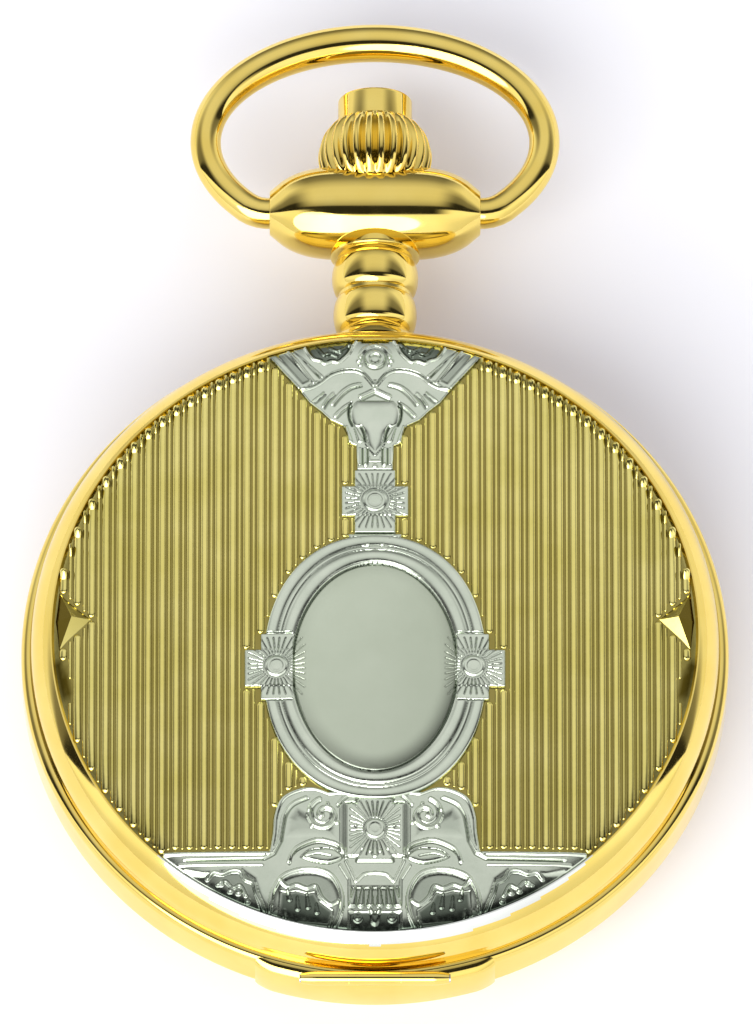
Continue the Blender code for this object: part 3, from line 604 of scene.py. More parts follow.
def make_bow():
    """Oval bow, thickest at its top, whose ends turn in to the barrel's sockets."""
    path = bow_path()
    rings = []
    for index, ((x, y), tube) in enumerate(path):
        before = Vector(path[max(index - 1, 0)][0])
        after = Vector(path[min(index + 1, len(path) - 1)][0])
        run = (after - before).normalized()
        ring = circle_points((0.0, 0.0), tube, BOW_SIDES)
        rings.append([(x - run.y * across, y + run.x * across, up) for across, up in ring])
    points, faces = skin(rings)
    gold_piece("bow_ring", face_outwards(mesh_from(points, faces, 60)), "bow", ["bow"])


def fluted_ring(radius, along, depth):
    """Ring of the crown at a place along its axis, cut by flutes of this depth."""
    ring = []
    count = CROWN_FLUTES * POINTS_PER_FLUTE
    for index in range(count):
        angle = 2 * pi * index / count
        reach = radius - depth * abs(sin(CROWN_FLUTES * angle / 2)) ** FLUTE_SHARPNESS
        ring.append((reach * cos(angle), along, reach * sin(angle)))
    return ring


def make_crown():
    """Onion crown with rounded flutes and a recess for the button."""
    rings = []
    for radius, t in curve(CROWN_OUTLINE, 5):
        fade = max(0.0, min(1.0, 5.0 * t, 6.0 * (1 - t))) ** 0.6
        rings.append(fluted_ring(radius, CROWN_LOW + (CROWN_HIGH - CROWN_LOW) * t, FLUTE_DEPTH * fade))
    recess = BUTTON_RADIUS + 0.12
    floor = CROWN_HIGH - 2.2
    for radius, along in ((recess + 0.10, CROWN_HIGH + 0.02), (recess, CROWN_HIGH - 0.1), (recess, floor),
                          (STEM_BORE, floor), (STEM_BORE, CROWN_LOW)):
        rings.append(fluted_ring(radius, along, 0.0))
    points, faces = skin(rings, closed_path=True)
    gold_piece("crown_knob", face_outwards(mesh_from(points, faces, 50)), "crown", ["crown"])


def make_button():
    """Push button with a rounded rim, set in the crown."""
    low, high = span("push_button", 1)
    edge = [(HUB_RADIUS, low), (BUTTON_RADIUS, low), (BUTTON_RADIUS, high), (HUB_RADIUS, high)]
    mesh = lathe(filleted(edge, 0.22, 6), axis="Y", segments=96)
    gold_piece("button_cap", mesh, "push_button", ["push_button"])


# --- flat shapes as signed distances --------------------------------------------------------
def segment_distance(x, y, a, b):
    """Distance from each grid point to the segment a-b."""
    ax, ay = a
    run_x, run_y = b[0] - ax, b[1] - ay
    length = max(run_x ** 2 + run_y ** 2, 1e-9)
    t = np.clip(((x - ax) * run_x + (y - ay) * run_y) / length, 0.0, 1.0)
    return np.hypot(x - ax - t * run_x, y - ay - t * run_y)


def path_distance(x, y, points):
    """Distance from each grid point to an open path."""
    result = np.full(x.shape, 1e3)
    for a, b in zip(points, points[1:]):
        result = np.minimum(result, segment_distance(x, y, a, b))
    return result


def area_distance(x, y, outline):
    """Signed distance to a closed outline, negative inside."""
    edge = path_distance(x, y, outline + outline[:1])
    inside = np.zeros(x.shape, dtype=bool)
    for (x0, y0), (x1, y1) in zip(outline, outline[1:] + outline[:1]):
        crosses = (y0 > y) != (y1 > y)
        rise = y1 - y0 if abs(y1 - y0) > 1e-9 else 1e-9
        inside ^= crosses & (x < (x1 - x0) * (y - y0) / rise + x0)
    return np.where(inside, -edge, edge)


def oval_distance(x, y, centre, half_width, half_height):
    """Near enough signed distance to an upright oval."""
    u, v = x - centre[0], y - centre[1]
    scaled = np.hypot(u / half_width, v / half_height)
    slope = np.hypot(u / half_width ** 2, v / half_height ** 2) / np.maximum(scaled, 1e-6)
    return (scaled - 1) / np.maximum(slope, 1e-6)


def box_distance(x, y, centre, half_width, half_height, corner=0.0):
    """Signed distance to a rounded rectangle."""
    u = np.abs(x - centre[0]) - half_width + corner
    v = np.abs(y - centre[1]) - half_height + corner
    return np.hypot(np.maximum(u, 0), np.maximum(v, 0)) + np.minimum(np.maximum(u, v), 0) - corner


def curve(points, steps=6):
    """Smooth open curve through a few points."""
    result = []
    for index in range(len(points) - 1):
        p0 = points[max(index - 1, 0)]
        p1, p2 = points[index], points[index + 1]
        p3 = points[min(index + 2, len(points) - 1)]
        for step in range(steps):
            t = step / steps
            result.append(tuple(0.5 * (2 * b + (c - a) * t + (2 * a - 5 * b + 4 * c - d) * t * t
                                       + (3 * b - a - 3 * c + d) * t ** 3)
                                for a, b, c, d in zip(p0, p1, p2, p3)))
    result.append(points[-1])
    return result


def shifted(points, across, up):
    """The points moved across and up."""
    return [(x + across, y + up) for x, y in points]


def spiral(centre, start_radius, end_radius, start, end, steps):
    """Points along a flat spiral, angles in degrees."""
    points = []
    for index in range(steps + 1):
        t = index / steps
        radius = start_radius + (end_radius - start_radius) * t
        angle = radians(start + (end - start) * t)
        points.append((centre[0] + radius * cos(angle), centre[1] + radius * sin(angle)))
    return points


# --- cover panel: ground, reeds and side studs ---------------------------------------------------
REED_PITCH = 0.955
# Place within a pitch, half width and height of the broad reed and of the fine bead beside it.
REEDS = ((0.11, 0.272, 0.17), (0.61, 0.112, 0.13))
GROOVE_DEPTH = 0.10
REED_REACH = 21.68
DOME_REACH = 22.0
EDGE_TURN = 20.6
EDGE_DROP = 0.20
STUD_CENTRE = (21.9, 0.95)
STUD_REACH = 2.65
# Ends of the line that the painted shade patch under each stud follows.
HOLLOW = ((21.45, -2.3), (20.75, -4.6))
FIELD_CENTRE = (0.0, -3.03)
FIELD_HALF = (5.65, 7.65)
FRAME_CENTRE = (0.0, -2.96)
FRAME_HALF = (7.6, 9.7)
FRAME_POWER = 2.2


def dome(x, y):
    """Height of the cover's smooth surface, which turns down near its edge."""
    reach = np.hypot(x, y)
    turn = np.maximum(reach - EDGE_TURN, 0) / (PANEL_RADIUS - EDGE_TURN)
    return PANEL_TOP - PANEL_RISE * (reach / DOME_REACH) ** 2 - EDGE_DROP * turn ** 2


def make_ground():
    """Thin domed sheet that carries the reeds and the ornament."""
    thickness = 0.55
    reaches = [0.3] + [PANEL_RADIUS * (index / 48) ** 0.8 for index in range(2, 49)]
    top = [(reach, float(dome(reach, 0.0)) - GROOVE_DEPTH) for reach in reaches]
    below = [(reach, float(dome(reach, 0.0)) - thickness) for reach in reversed(reaches[:-1])]
    edge = [(PANEL_RADIUS, top[-1][1] - 0.30)]
    mesh = lathe(top + edge + below)
    cover_piece("cover_ground", mesh, RELIEF_GOLD, ["front_cover_panel"])
    data = np.array([vertex.co for vertex in mesh.vertices]) / MM
    reach = np.hypot(data[:, 0], data[:, 1])
    front = data[:, 2] - MID_Z > dome(data[:, 0], data[:, 1]) - 1.5 * GROOVE_DEPTH
    # Painted shade on the ground's front: along the grooves between the reeds, and in a patch under each stud
    # where the photo shows a dark hollow.
    groove = 0.72 * np.clip((REED_REACH + 0.1 - reach) / 0.3, 0.0, 1.0)
    hollow = np.clip(0.8 - 1.5 * hollow_distance(data[:, 0], data[:, 1]), 0.0, 1.0)
    shade(mesh, np.where(front, np.maximum(groove, hollow), 0.0))


def shade(mesh, values):
    """Stores each vertex's painted shade, from 0 to 1, as the recess value that the relief metals darken by.
    """
    layer = mesh.attributes.new("recess", "FLOAT", "POINT")
    layer.data.foreach_set("value", [float(value) for value in values])


def frame_distance(x, y):
    """Rough signed distance to the cartouche frame's squarish oval."""
    u = np.abs(x - FRAME_CENTRE[0]) / FRAME_HALF[0]
    v = np.abs(y - FRAME_CENTRE[1]) / FRAME_HALF[1]
    scaled = (u ** FRAME_POWER + v ** FRAME_POWER) ** (1 / FRAME_POWER)
    away = np.hypot(x - FRAME_CENTRE[0], y - FRAME_CENTRE[1])
    return (scaled - 1) * away / np.maximum(scaled, 1e-6)


CREST_EDGE = [(8.7, 22.6), (7.45, 20.8), (5.12, 17.84), (4.45, 16.9), (3.7, 16.25), (3.05, 15.55),
              (2.2, 15.1), (1.9, 14.4), (1.8, 13.75), (1.3, 13.55), (1.22, 11.3)]
LEDGE_EDGE = [(14.3, -16.1), (7.15, -16.2), (6.95, -14.9), (6.85, -13.7), (6.4, -12.5), (5.45, -11.9),
              (4.3, -11.72), (3.2, -12.1), (2.2, -12.0), (0.9, -11.4), (0.0, -11.18)]
TOP_CROSS = (0.0, 9.33)
SIDE_CROSS = (6.62, -3.0)
FOOT_CROSS = (0.0, -14.8)
CROSS_CORNER = 0.1
CUP = (0.0, 6.75)


def top_cross(x, y):
    """Signed distances to the two arms of the rosette under the crest."""
    upright = box_distance(x, y, (0.0, TOP_CROSS[1] - 0.05), 1.42, 2.42, CROSS_CORNER)
    across = box_distance(x, y, TOP_CROSS, 2.3, 1.15, CROSS_CORNER)
    return upright, across


def side_cross(x, y):
    """Signed distances to the two arms of the rosette beside the cartouche."""
    upright = box_distance(x, y, SIDE_CROSS, 1.12, 2.42, CROSS_CORNER)
    across = box_distance(x, y, (SIDE_CROSS[0] + 0.55, SIDE_CROSS[1] - 0.1), 1.67, 1.36, CROSS_CORNER)
    return upright, across


def cup_distance(x, y):
    """Signed distance to the oval that the half-round cup is cut from."""
    return oval_distance(x, y, CUP, 1.85, 1.12)


def crest_distance(x, y):
    """Signed distance to the top ornament: the crest, its stem, the cross and the half-round cup."""
    x = np.abs(x)
    crest = area_distance(x, y, [(-1.0, 22.6)] + CREST_EDGE + [(-1.0, 11.3)])
    crest = np.maximum(crest, np.hypot(x, y) - (PANEL_RADIUS - 0.02))
    cup = np.maximum(cup_distance(x, y), y - CUP[1] - 0.1)
    return np.minimum(np.minimum(crest, cup), np.minimum(*top_cross(x, y)))


def middle_distance(x, y):
    """Signed distance to the cartouche with its two side crosses."""
    return np.minimum(frame_distance(x, y), np.minimum(*side_cross(np.abs(x), y)))


def foot_distance(x, y):
    """Signed distance to everything below the ledge."""
    x = np.abs(x)
    outline = [(-1.0, -23.0), (15.5, -23.0)] + curve_corners(LEDGE_EDGE) + [(-1.0, -11.18)]
    foot = area_distance(x, y, outline)
    return np.maximum(foot, np.hypot(x, y) - (PANEL_RADIUS - 0.02))


def curve_corners(points):
    """The ledge's straight run, then its S-curve and arch drawn smoothly."""
    return points[:1] + curve(points[1:8]) + curve(points[8:])


def ornament_distance(x, y):
    """Signed distance to the whole ornament."""
    return np.minimum(np.minimum(crest_distance(x, y), foot_distance(x, y)), middle_distance(x, y))


def stud_distance(x, y):
    """Signed distance to the two small pyramids at the sides."""
    return np.abs(y - STUD_CENTRE[1]) + np.abs(np.abs(x) - STUD_CENTRE[0]) - STUD_REACH


def hollow_distance(x, y):
    """Signed distance to the patch of painted shade under each stud, where the reeds stop."""
    return segment_distance(np.abs(x), y, *HOLLOW) - 0.36


def reed_spans(x):
    """Stretches along Y where a reed at x runs free of the ornament, the studs and the rim."""
    reach = sqrt(max(REED_REACH ** 2 - x ** 2, 0.0))
    y = np.arange(-reach, reach, 0.04)
    line = np.full(y.shape, x)
    free = (ornament_distance(line, y) > 0.10) & (stud_distance(line, y) > 0.16) \
        & (hollow_distance(line, y) > 0.1)
    spans = []
    start = None
    for value, clear in zip(y, free):
        if clear and start is None:
            start = value
        if start is not None and (not clear or value == y[-1]):
            if value - start > 0.7:
                spans.append((float(start), float(value)))
            start = None
    return spans


def reed_strip(x, low, high, half, height, lean=0.0, fullness=0.9):
    """Half-round strip with rounded ends from low to high; lean lifts it towards its high end."""
    nose = min(1.15 * half, 0.5 * (high - low))
    near = [nose * (1 - cos(pi / 2 * index / 7)) for index in range(8)]
    middle = int(max(2, (high - low - 2 * nose) / 0.55))
    along = [low + value for value in near] + \
        [low + nose + (high - low - 2 * nose) * index / middle for index in range(1, middle)] + \
        [high - value for value in reversed(near)]
    rows = []
    for y in along:
        inset = min(y - low, high - y)
        share = sqrt(max(0.0, 1 - (1 - min(inset / nose, 1.0)) ** 2))
        row = []
        for index in range(11):
            angle = pi * index / 10
            offset = -cos(angle) * half * max(share, 0.03)
            rise = max(sin(angle), 0.0) ** fullness * (height + lean * (y - low) / (high - low)) * share
            row.append((x + offset, y, float(dome(x + offset, y)) - GROOVE_DEPTH - 0.02 + rise))
        rows.append(row)
    return skin(rows, closed_rings=False, capped=False)


REED_SHADE = [1.0, 0.75, 0.22, 0.0, 0.0, 0.0, 0.0, 0.0, 0.22, 0.75, 1.0]
TIP_LENGTH = 0.95
TIP_LEAN = 0.55
TIP_FULLNESS = 0.45
TIPS_ABOVE = 4.0


def make_reeding():
    """Upright reeds, a broad one and a fine bead by turns, on both halves of the cover."""
    points, faces = [], []
    count = int(REED_REACH / REED_PITCH) + 1
    for number in range(count):
        for phase, half, height in REEDS:
            x = (number + phase) * REED_PITCH
            if x > REED_REACH - 0.3:
                continue
            for low, high in reed_spans(x):
                strips = [(low, high, half, height)]
                if high > TIPS_ABOVE and hypot(x, high) > REED_REACH - 0.1:
                    strips.append((high - TIP_LENGTH, high - 0.02, half, height, TIP_LEAN, TIP_FULLNESS))
                for side in (-1, 1):
                    for shape in strips:
                        strip, quads = reed_strip(side * x, *shape)
                        start = len(points)
                        points += strip
                        faces += [tuple(start + index for index in quad) for quad in quads]
    mesh = face_up(mesh_from(points, faces, 70))
    shade(mesh, REED_SHADE * (len(points) // len(REED_SHADE)))
    cover_piece("reeding", mesh, RELIEF_GOLD)


def face_up(mesh):
    """Turns an open sheet's faces to the front."""
    if sum(polygon.normal.z for polygon in mesh.polygons) < 0:
        mesh.flip_normals()
    return mesh


def make_studs():
    """Low pyramid at each side, cut off by the cover's edge, with its far faces in shade."""
    points, faces, shades = [], [], []
    middle = STUD_CENTRE[1]
    tip = 20.55
    corners = [(19.25, middle), (21.38, middle - 2.15), (21.62, middle), (21.38, middle + 2.15)]
    for side in (-1, 1):
        for index, (near, far) in enumerate(((0.55, 0.35), (1.0, 1.0), (1.0, 1.0), (0.0, 0.30))):
            start = len(points)
            for x, y in (corners[index], corners[(index + 1) % 4]):
                points.append((side * x, y, float(dome(x, y)) - GROOVE_DEPTH))
            points.append((side * tip, middle, float(dome(tip, middle)) + 0.60))
            faces.append((start, start + 1, start + 2) if side > 0 else (start + 1, start, start + 2))
            shades += [near, far, 0.5 * (near + far)]
    mesh = face_up(mesh_from(points, faces, 20))
    shade(mesh, shades)
    cover_piece("side_studs", mesh, RELIEF_GOLD)


# --- ornament ---------------------------------------------------------------------------------------
RELIEF_CELL = 0.05
PLATE_LIFT = 0.20
FLOOR_LIFT = 0.015
SKIRT_DEPTH = 0.34
FRAME_LIFT = 0.06
# Start and end across the frame, height and roundness of its three mouldings, then the creases between.
FRAME_BANDS = ((0.04, 0.44, 0.13, 0.8), (0.46, 0.58, 0.07, 0.5), (0.60, 1.0, 0.12, 0.8))
FRAME_CREASES = (0.45, 0.59)
RAYS = 32


class Relief:
    """Pressed ornament as heights above the dome on a fine grid, mirrored about X = 0."""

    def __init__(self, low, high, distance):
        across = np.arange(low[0], high[0] + RELIEF_CELL / 2, RELIEF_CELL)
        up = np.arange(low[1], high[1] + RELIEF_CELL / 2, RELIEF_CELL)
        self.x, self.y = np.meshgrid(across, up)
        self.edge = distance(self.x, self.y)
        self.side = np.abs(self.x)
        self.height = PLATE_LIFT * self.rounded(self.edge, 0.14)
        # recess is the painted shade at each grid point, from 0 to 1.
        self.recess = np.zeros(self.x.shape)

    def rounded(self, distance, width):
        """Rises from 0 at an outline to 1 at this distance inside, like a quarter round."""
        inside = np.clip(-distance / width, 0.0, 1.0)
        return np.sqrt(1 - (1 - inside) ** 2)

    def ridge(self, points, half, height):
        """Half-round line standing above what is there."""
        share = np.clip(path_distance(self.side, self.y, points) / half, 0.0, 1.0)
        self.height += height * np.sqrt(1 - share ** 2)

    def groove(self, points, half, depth, dark=0.8):
        """Line pressed in, with painted shade at its bottom."""
        share = np.clip(path_distance(self.side, self.y, points) / half, 0.0, 1.0)
        cut = 0.5 + 0.5 * np.cos(pi * share)
        self.height -= depth * cut
        self.recess = np.maximum(self.recess, dark * cut)

    def swell(self, distance, height, width):
        """Raised area with a rounded edge of this width."""
        self.height += height * self.rounded(distance, width)

    def sink(self, distance, depth, width, dark=0.0):
        """Sunken area with soft sides; dark gives the painted shade laid in it."""
        inside = np.clip(-distance / width, 0.0, 1.0)
        cut = 0.5 - 0.5 * np.cos(pi * inside)
        self.height -= depth * cut
        self.recess = np.maximum(self.recess, dark * cut)

    def beads(self, centres, radius, height):
        """Round beads."""
        for across, up in centres:
            share = np.clip(np.hypot(self.side - across, self.y - up) / radius, 0.0, 1.0)
            self.height += height * np.sqrt(1 - share ** 2)

    def ring(self, centre, radius, half, height):
        """Raised ring."""
        away = np.abs(np.hypot(self.side - centre[0], self.y - centre[1]) - radius)
        self.height += height * np.sqrt(1 - np.clip(away / half, 0.0, 1.0) ** 2)

    def drop(self, top, bottom, half, height):
        """Tear-shaped boss, wide at its bottom."""
        run = max(abs(top[1] - bottom[1]), 1e-6)
        along = np.clip((top[1] - self.y) / run, 0.0, 1.0)
        width = half * (0.35 + 0.65 * along)
        away = segment_distance(self.side, self.y, top, bottom)
        self.height += height * np.sqrt(1 - np.clip(away / width, 0.0, 1.0) ** 2)

    def mesh(self):
        """Top surface with a skirt that goes down into the ground sheet."""
        inside = self.edge < 0
        cells = inside[:-1, :-1] | inside[1:, :-1] | inside[:-1, 1:] | inside[1:, 1:]
        used = np.zeros(inside.shape, dtype=bool)
        for rows in (slice(None, -1), slice(1, None)):
            for columns in (slice(None, -1), slice(1, None)):
                used[rows, columns] |= cells
        slope_y, slope_x = np.gradient(self.edge, RELIEF_CELL)
        steep = np.maximum(slope_x ** 2 + slope_y ** 2, 0.25)
        move = np.where(used & ~inside, self.edge / steep, 0.0)
        x, y = self.x - move * slope_x, self.y - move * slope_y
        z = dome(x, y) - GROOVE_DEPTH + np.where(inside, np.maximum(self.height, FLOOR_LIFT), 0.0)
        number = np.full(inside.shape, -1)
        number[used] = np.arange(int(used.sum()))
        points = np.stack([x[used], y[used], z[used]], axis=1).tolist()
        recess = self.recess[used].tolist()
        faces = []
        row, column = np.nonzero(cells)
        for r, c in zip(row, column):
            faces.append((number[r, c], number[r, c + 1], number[r + 1, c + 1], number[r + 1, c]))
        padded = np.pad(cells, 1)
        skirt = {}

        def below(index):
            if index not in skirt:
                px, py = points[index][:2]
                skirt[index] = len(points)
                points.append([px, py, float(dome(px, py)) - SKIRT_DEPTH])
                # Skirt points get full painted shade.
                recess.append(1.0)
            return skirt[index]

        for r, c in zip(row, column):
            sides = ((padded[r, c + 1], (r, c + 1), (r, c)),
                     (padded[r + 2, c + 1], (r + 1, c), (r + 1, c + 1)),
                     (padded[r + 1, c], (r, c), (r + 1, c)),
                     (padded[r + 1, c + 2], (r + 1, c + 1), (r, c + 1)))
            for filled, start, end in sides:
                if not filled:
                    a, b = int(number[start]), int(number[end])
                    faces.append((a, b, below(b), below(a)))
        mesh = mesh_from(points, faces, 62)
        shade(mesh, recess)
        return mesh


def rosette(relief, centre, half, ring):
    """Cross-shaped rosette: fine rays in each arm round a beaded centre."""
    reach_x, reach_y = half
    for index in range(RAYS):
        angle = 2 * pi * (index + 0.5) / RAYS
        run_x, run_y = cos(angle), sin(angle)
        far = min(reach_x / max(abs(run_x), 1e-6), reach_y / max(abs(run_y), 1e-6))
        if ring * 1.75 < far * 0.92:
            start = (centre[0] + run_x * ring * 1.75, centre[1] + run_y * ring * 1.75)
            end = (centre[0] + run_x * far * 0.90, centre[1] + run_y * far * 0.90)
            relief.groove([start, end], 0.075, 0.07, 0.35)
    relief.groove(circle_path(centre, ring * 1.45), 0.10, 0.06, 0.35)
    relief.ring(centre, ring, 0.15, 0.07)
    relief.swell(np.hypot(relief.side - centre[0], relief.y - centre[1]) - ring * 0.75, 0.05, 0.2)


def circle_path(centre, radius):
    """Closed path round a circle."""
    points = circle_points(centre, radius, 28)
    return points + points[:1]


def make_crest():
    """Crest below the pendant: feathered wings about an urn, a stem, a rosette and a beaded cup."""
    relief = Relief((-8.1, 5.4), (8.1, 21.95), crest_distance)
    x, y = relief.side, relief.y
    # Diagonal double bars at the wing tips, with a sunken panel between them.
    panel = [(7.0, 20.9), (6.15, 21.0), (4.2, 18.65), (4.95, 18.25)]
    relief.sink(area_distance(x, y, panel), 0.10, 0.25, 0.45)
    relief.ridge([(7.5, 20.8), (5.12, 17.95), (4.75, 17.95), (3.95, 18.45)], 0.12, 0.10)
    relief.ridge([(6.05, 21.2), (4.15, 18.45)], 0.10, 0.11)
    relief.groove([(5.75, 21.2), (3.75, 18.85)], 0.12, 0.08, 0.55)
    relief.ridge([(5.55, 20.9), (3.6, 18.9)], 0.09, 0.09)
    # Sunken leaf at each side of the ring, with its lobed lower edge.
    lobes = curve([(4.75, 21.25), (4.55, 20.75), (4.2, 20.3), (3.75, 20.15), (3.4, 19.93), (2.9, 20.1),
                   (2.5, 20.02), (2.15, 20.3), (1.75, 20.75), (1.5, 21.3), (1.3, 21.75)], 5)
    relief.sink(area_distance(x, y, lobes + [(1.3, 22.6), (4.75, 22.6)]), 0.20, 0.35, 0.85)
    relief.ridge(lobes, 0.11, 0.15)
    relief.ridge(curve([(3.9, 21.2), (3.5, 20.7), (3.0, 20.75), (2.6, 20.55)], 5), 0.12, 0.16)
    relief.ridge(curve([(3.1, 21.25), (2.6, 21.0), (2.1, 21.2), (1.8, 21.5)], 5), 0.12, 0.17)
    relief.beads(((3.2, 20.72), (2.35, 20.95), (1.65, 21.42)), 0.20, 0.14)
    # Ring boss under its hood.
    relief.sink(np.maximum(np.abs(x) - 1.0, np.abs(y - 21.75) - 0.22), 0.16, 0.22, 0.95)
    relief.ridge(curve([(0.0, 21.42), (0.55, 21.22), (0.95, 20.75), (1.05, 20.2)], 5), 0.13, 0.10)
    relief.ring((0.0, 20.28), 0.52, 0.16, 0.15)
    relief.beads([(0.0, 20.28)], 0.30, 0.08)
    relief.groove(circle_path((0.0, 20.28), 0.78), 0.11, 0.07, 0.45)
    relief.beads(((0.95, 20.42), (1.12, 20.1), (0.98, 19.8)), 0.15, 0.13)
    # Wings: three feathers a side that sweep out from the middle.
    wing = curve([(5.1, 17.85), (4.4, 18.0), (3.75, 18.35), (2.9, 19.05), (1.75, 19.35), (0.85, 19.1),
                  (0.12, 18.2)])
    relief.groove(shifted(wing, 0.0, 0.13), 0.13, 0.10, 0.6)
    relief.ridge(wing, 0.11, 0.11)
    relief.ridge([(0.0, 18.45), (0.0, 18.0)], 0.20, 0.12)
    for feather, half in (([(2.9, 16.8), (2.3, 17.6), (1.7, 18.1), (1.05, 18.3)], 0.15),
                          ([(3.55, 16.6), (3.2, 17.2), (2.85, 17.6)], 0.08),
                          ([(2.7, 15.85), (2.2, 16.4), (1.75, 16.75)], 0.13),
                          ([(4.2, 17.0), (3.8, 17.35), (3.5, 17.65)], 0.07)):
        line = curve(feather)
        relief.ridge(line, half, 0.13)
        relief.groove(shifted(line, -0.14, -0.17), 0.10, 0.07, 0.5)
    relief.ridge([(0.95, 17.35), (0.0, 17.85)], 0.17, 0.16)
    relief.groove([(0.95, 17.05), (0.0, 17.55)], 0.13, 0.07, 0.4)
    # Urn with its drops, tapering to a point on the stem.
    urn = [(-0.5, 17.0)] + curve([(1.2, 17.0), (1.62, 16.4), (1.6, 15.6), (1.35, 15.05), (0.95, 14.9),
                                  (0.62, 14.5), (0.42, 13.6), (0.0, 12.8)], 5) + [(-0.5, 12.8)]
    relief.swell(area_distance(x, y, urn), 0.20, 0.8)
    relief.groove(curve([(1.62, 16.9), (1.8, 16.3), (1.75, 15.6), (1.55, 15.1)], 5), 0.13, 0.14, 0.95)
    relief.groove(curve([(0.95, 14.98), (0.78, 14.5), (0.66, 13.9)], 4), 0.12, 0.14, 0.95)
    for top, bottom in (((1.95, 15.0), (1.72, 13.95)), ((1.35, 14.9), (0.98, 13.95))):
        relief.drop(top, bottom, 0.21, 0.16)
    relief.ridge([(0.62, 13.7), (0.0, 12.78)], 0.08, 0.09)
    for px in (0.66, 1.02):
        relief.ridge([(px, 13.3), (px, 12.1)], 0.09, 0.09)
        relief.groove([(px - 0.17, 13.3), (px - 0.17, 12.1)], 0.08, 0.08, 0.7)
    relief.ridge([(0.38, 12.6), (0.38, 12.35), (0.0, 12.35)], 0.07, 0.08)
    relief.beads(((0.62, 12.05), (0.0, 12.0)), 0.16, 0.11)
    relief.groove([(1.25, 11.72), (0.0, 11.72)], 0.10, 0.12, 0.95)
    # Rosette, then the cup with three beads.
    upright, across = top_cross(x, y)
    relief.swell(upright, 0.07, 0.16)
    relief.swell(across, 0.06, 0.16)
    rosette(relief, (0.0, TOP_CROSS[1] - 0.02), (2.2, 2.25), 0.60)
    relief.groove([(1.3, 6.88), (0.0, 6.88)], 0.09, 0.10, 0.8)
    cup = cup_distance(x, y)
    relief.swell(np.maximum(cup, y - 6.8), 0.12, 0.22)
    relief.sink(np.maximum(cup + 0.24, y - 6.62), 0.10, 0.14, 0.25)
    relief.beads(((0.0, 6.38), (0.98, 6.42), (0.48, 6.02)), 0.16, 0.16)
    cover_piece("ornament_crest", relief.mesh(), RHODIUM)


def make_cartouche():
    """Moulded oval frame with a rosette at each side, round the blank satin field."""
    relief = Relief((-9.0, -12.8), (9.0, 6.85), middle_distance)
    x, y = relief.side, relief.y
    field = oval_distance(x, y, FIELD_CENTRE, *FIELD_HALF)
    outer = frame_distance(x, y)
    share = np.clip(field / np.maximum(field - outer, 1e-6), 0.0, 1.0)
    moulded = (outer < 0.1) & (field > -0.2)
    relief.height += np.where(field > 0, FRAME_LIFT, 0.0)
    for start, end, height, power in FRAME_BANDS:
        across = np.clip((share - start) / (end - start), 0.0, 1.0)
        relief.height += np.where(moulded, height * (4 * across * (1 - across)) ** power, 0.0)
    # The creases between the mouldings get painted shade.
    for centre in FRAME_CREASES:
        near = np.clip(np.abs(share - centre) / 0.035, 0.0, 1.0)
        relief.recess = np.where(moulded, np.maximum(relief.recess, 0.55 * (1 - near)), relief.recess)
    # The field lies in a moat and swells gently; the moat gets painted shade.
    inside = np.clip(-field / 1.3, 0.0, 1.0)
    swell = PLATE_LIFT - FRAME_LIFT + 0.17 * np.sin(inside * pi / 2)
    relief.height = np.where(field < 0, swell, relief.height)
    moat = np.clip(np.abs(field + 0.07) / 0.13, 0.0, 1.0)
    depth = 0.5 + 0.5 * np.cos(pi * moat)
    relief.height -= 0.10 * depth
    relief.recess = np.maximum(relief.recess, 0.9 * depth)
    # Painted shadow gathers along the field's lower right edge and fades towards its middle, over a faint
    # painted shade that deepens towards the right.
    right, up = relief.x - FIELD_CENTRE[0], y - FIELD_CENTRE[1]
    low_right = (0.55 * right - 0.84 * up) / np.maximum(np.hypot(right, up), 1e-6)
    near_edge = np.clip(1.0 + field / 1.5, 0.0, 1.0) ** 2 * np.clip(0.25 + 0.75 * low_right, 0.0, 1.0) ** 1.5
    fade = 0.10 * np.clip(0.35 + (relief.x - 0.4 * y) / 9.0, 0.0, 1.0)
    shaded = np.maximum(relief.recess, fade + 0.85 * near_edge)
    relief.recess = np.where(field < 0, shaded, relief.recess)
    # Side rosettes sit over the frame.
    upright, across = side_cross(x, y)
    cross = np.minimum(upright, across)
    level = PLATE_LIFT + 0.10 * relief.rounded(cross, 0.14) + 0.05 * relief.rounded(across, 0.2)
    relief.height = np.where(cross < 0, level, relief.height)
    relief.recess = np.where(cross < 0, 0.0, relief.recess)
    for arm_end in (-0.52, -5.47):
        relief.groove([(SIDE_CROSS[0] - 1.0, arm_end), (SIDE_CROSS[0] + 1.0, arm_end)], 0.09, 0.08, 0.8)
    rosette(relief, (SIDE_CROSS[0] + 0.05, SIDE_CROSS[1]), (2.1, 2.3), 0.55)
    mesh = relief.mesh()
    cover_piece("ornament_cartouche", mesh, [RHODIUM, SATIN])
    for polygon in mesh.polygons:
        px, py = polygon.center.x / MM, polygon.center.y / MM
        u = (px - FIELD_CENTRE[0]) / (FIELD_HALF[0] - 0.16)
        v = (py - FIELD_CENTRE[1]) / (FIELD_HALF[1] - 0.16)
        if hypot(u, v) < 1 and abs(px) < SIDE_CROSS[0] - 1.15:
            polygon.material_index = 1


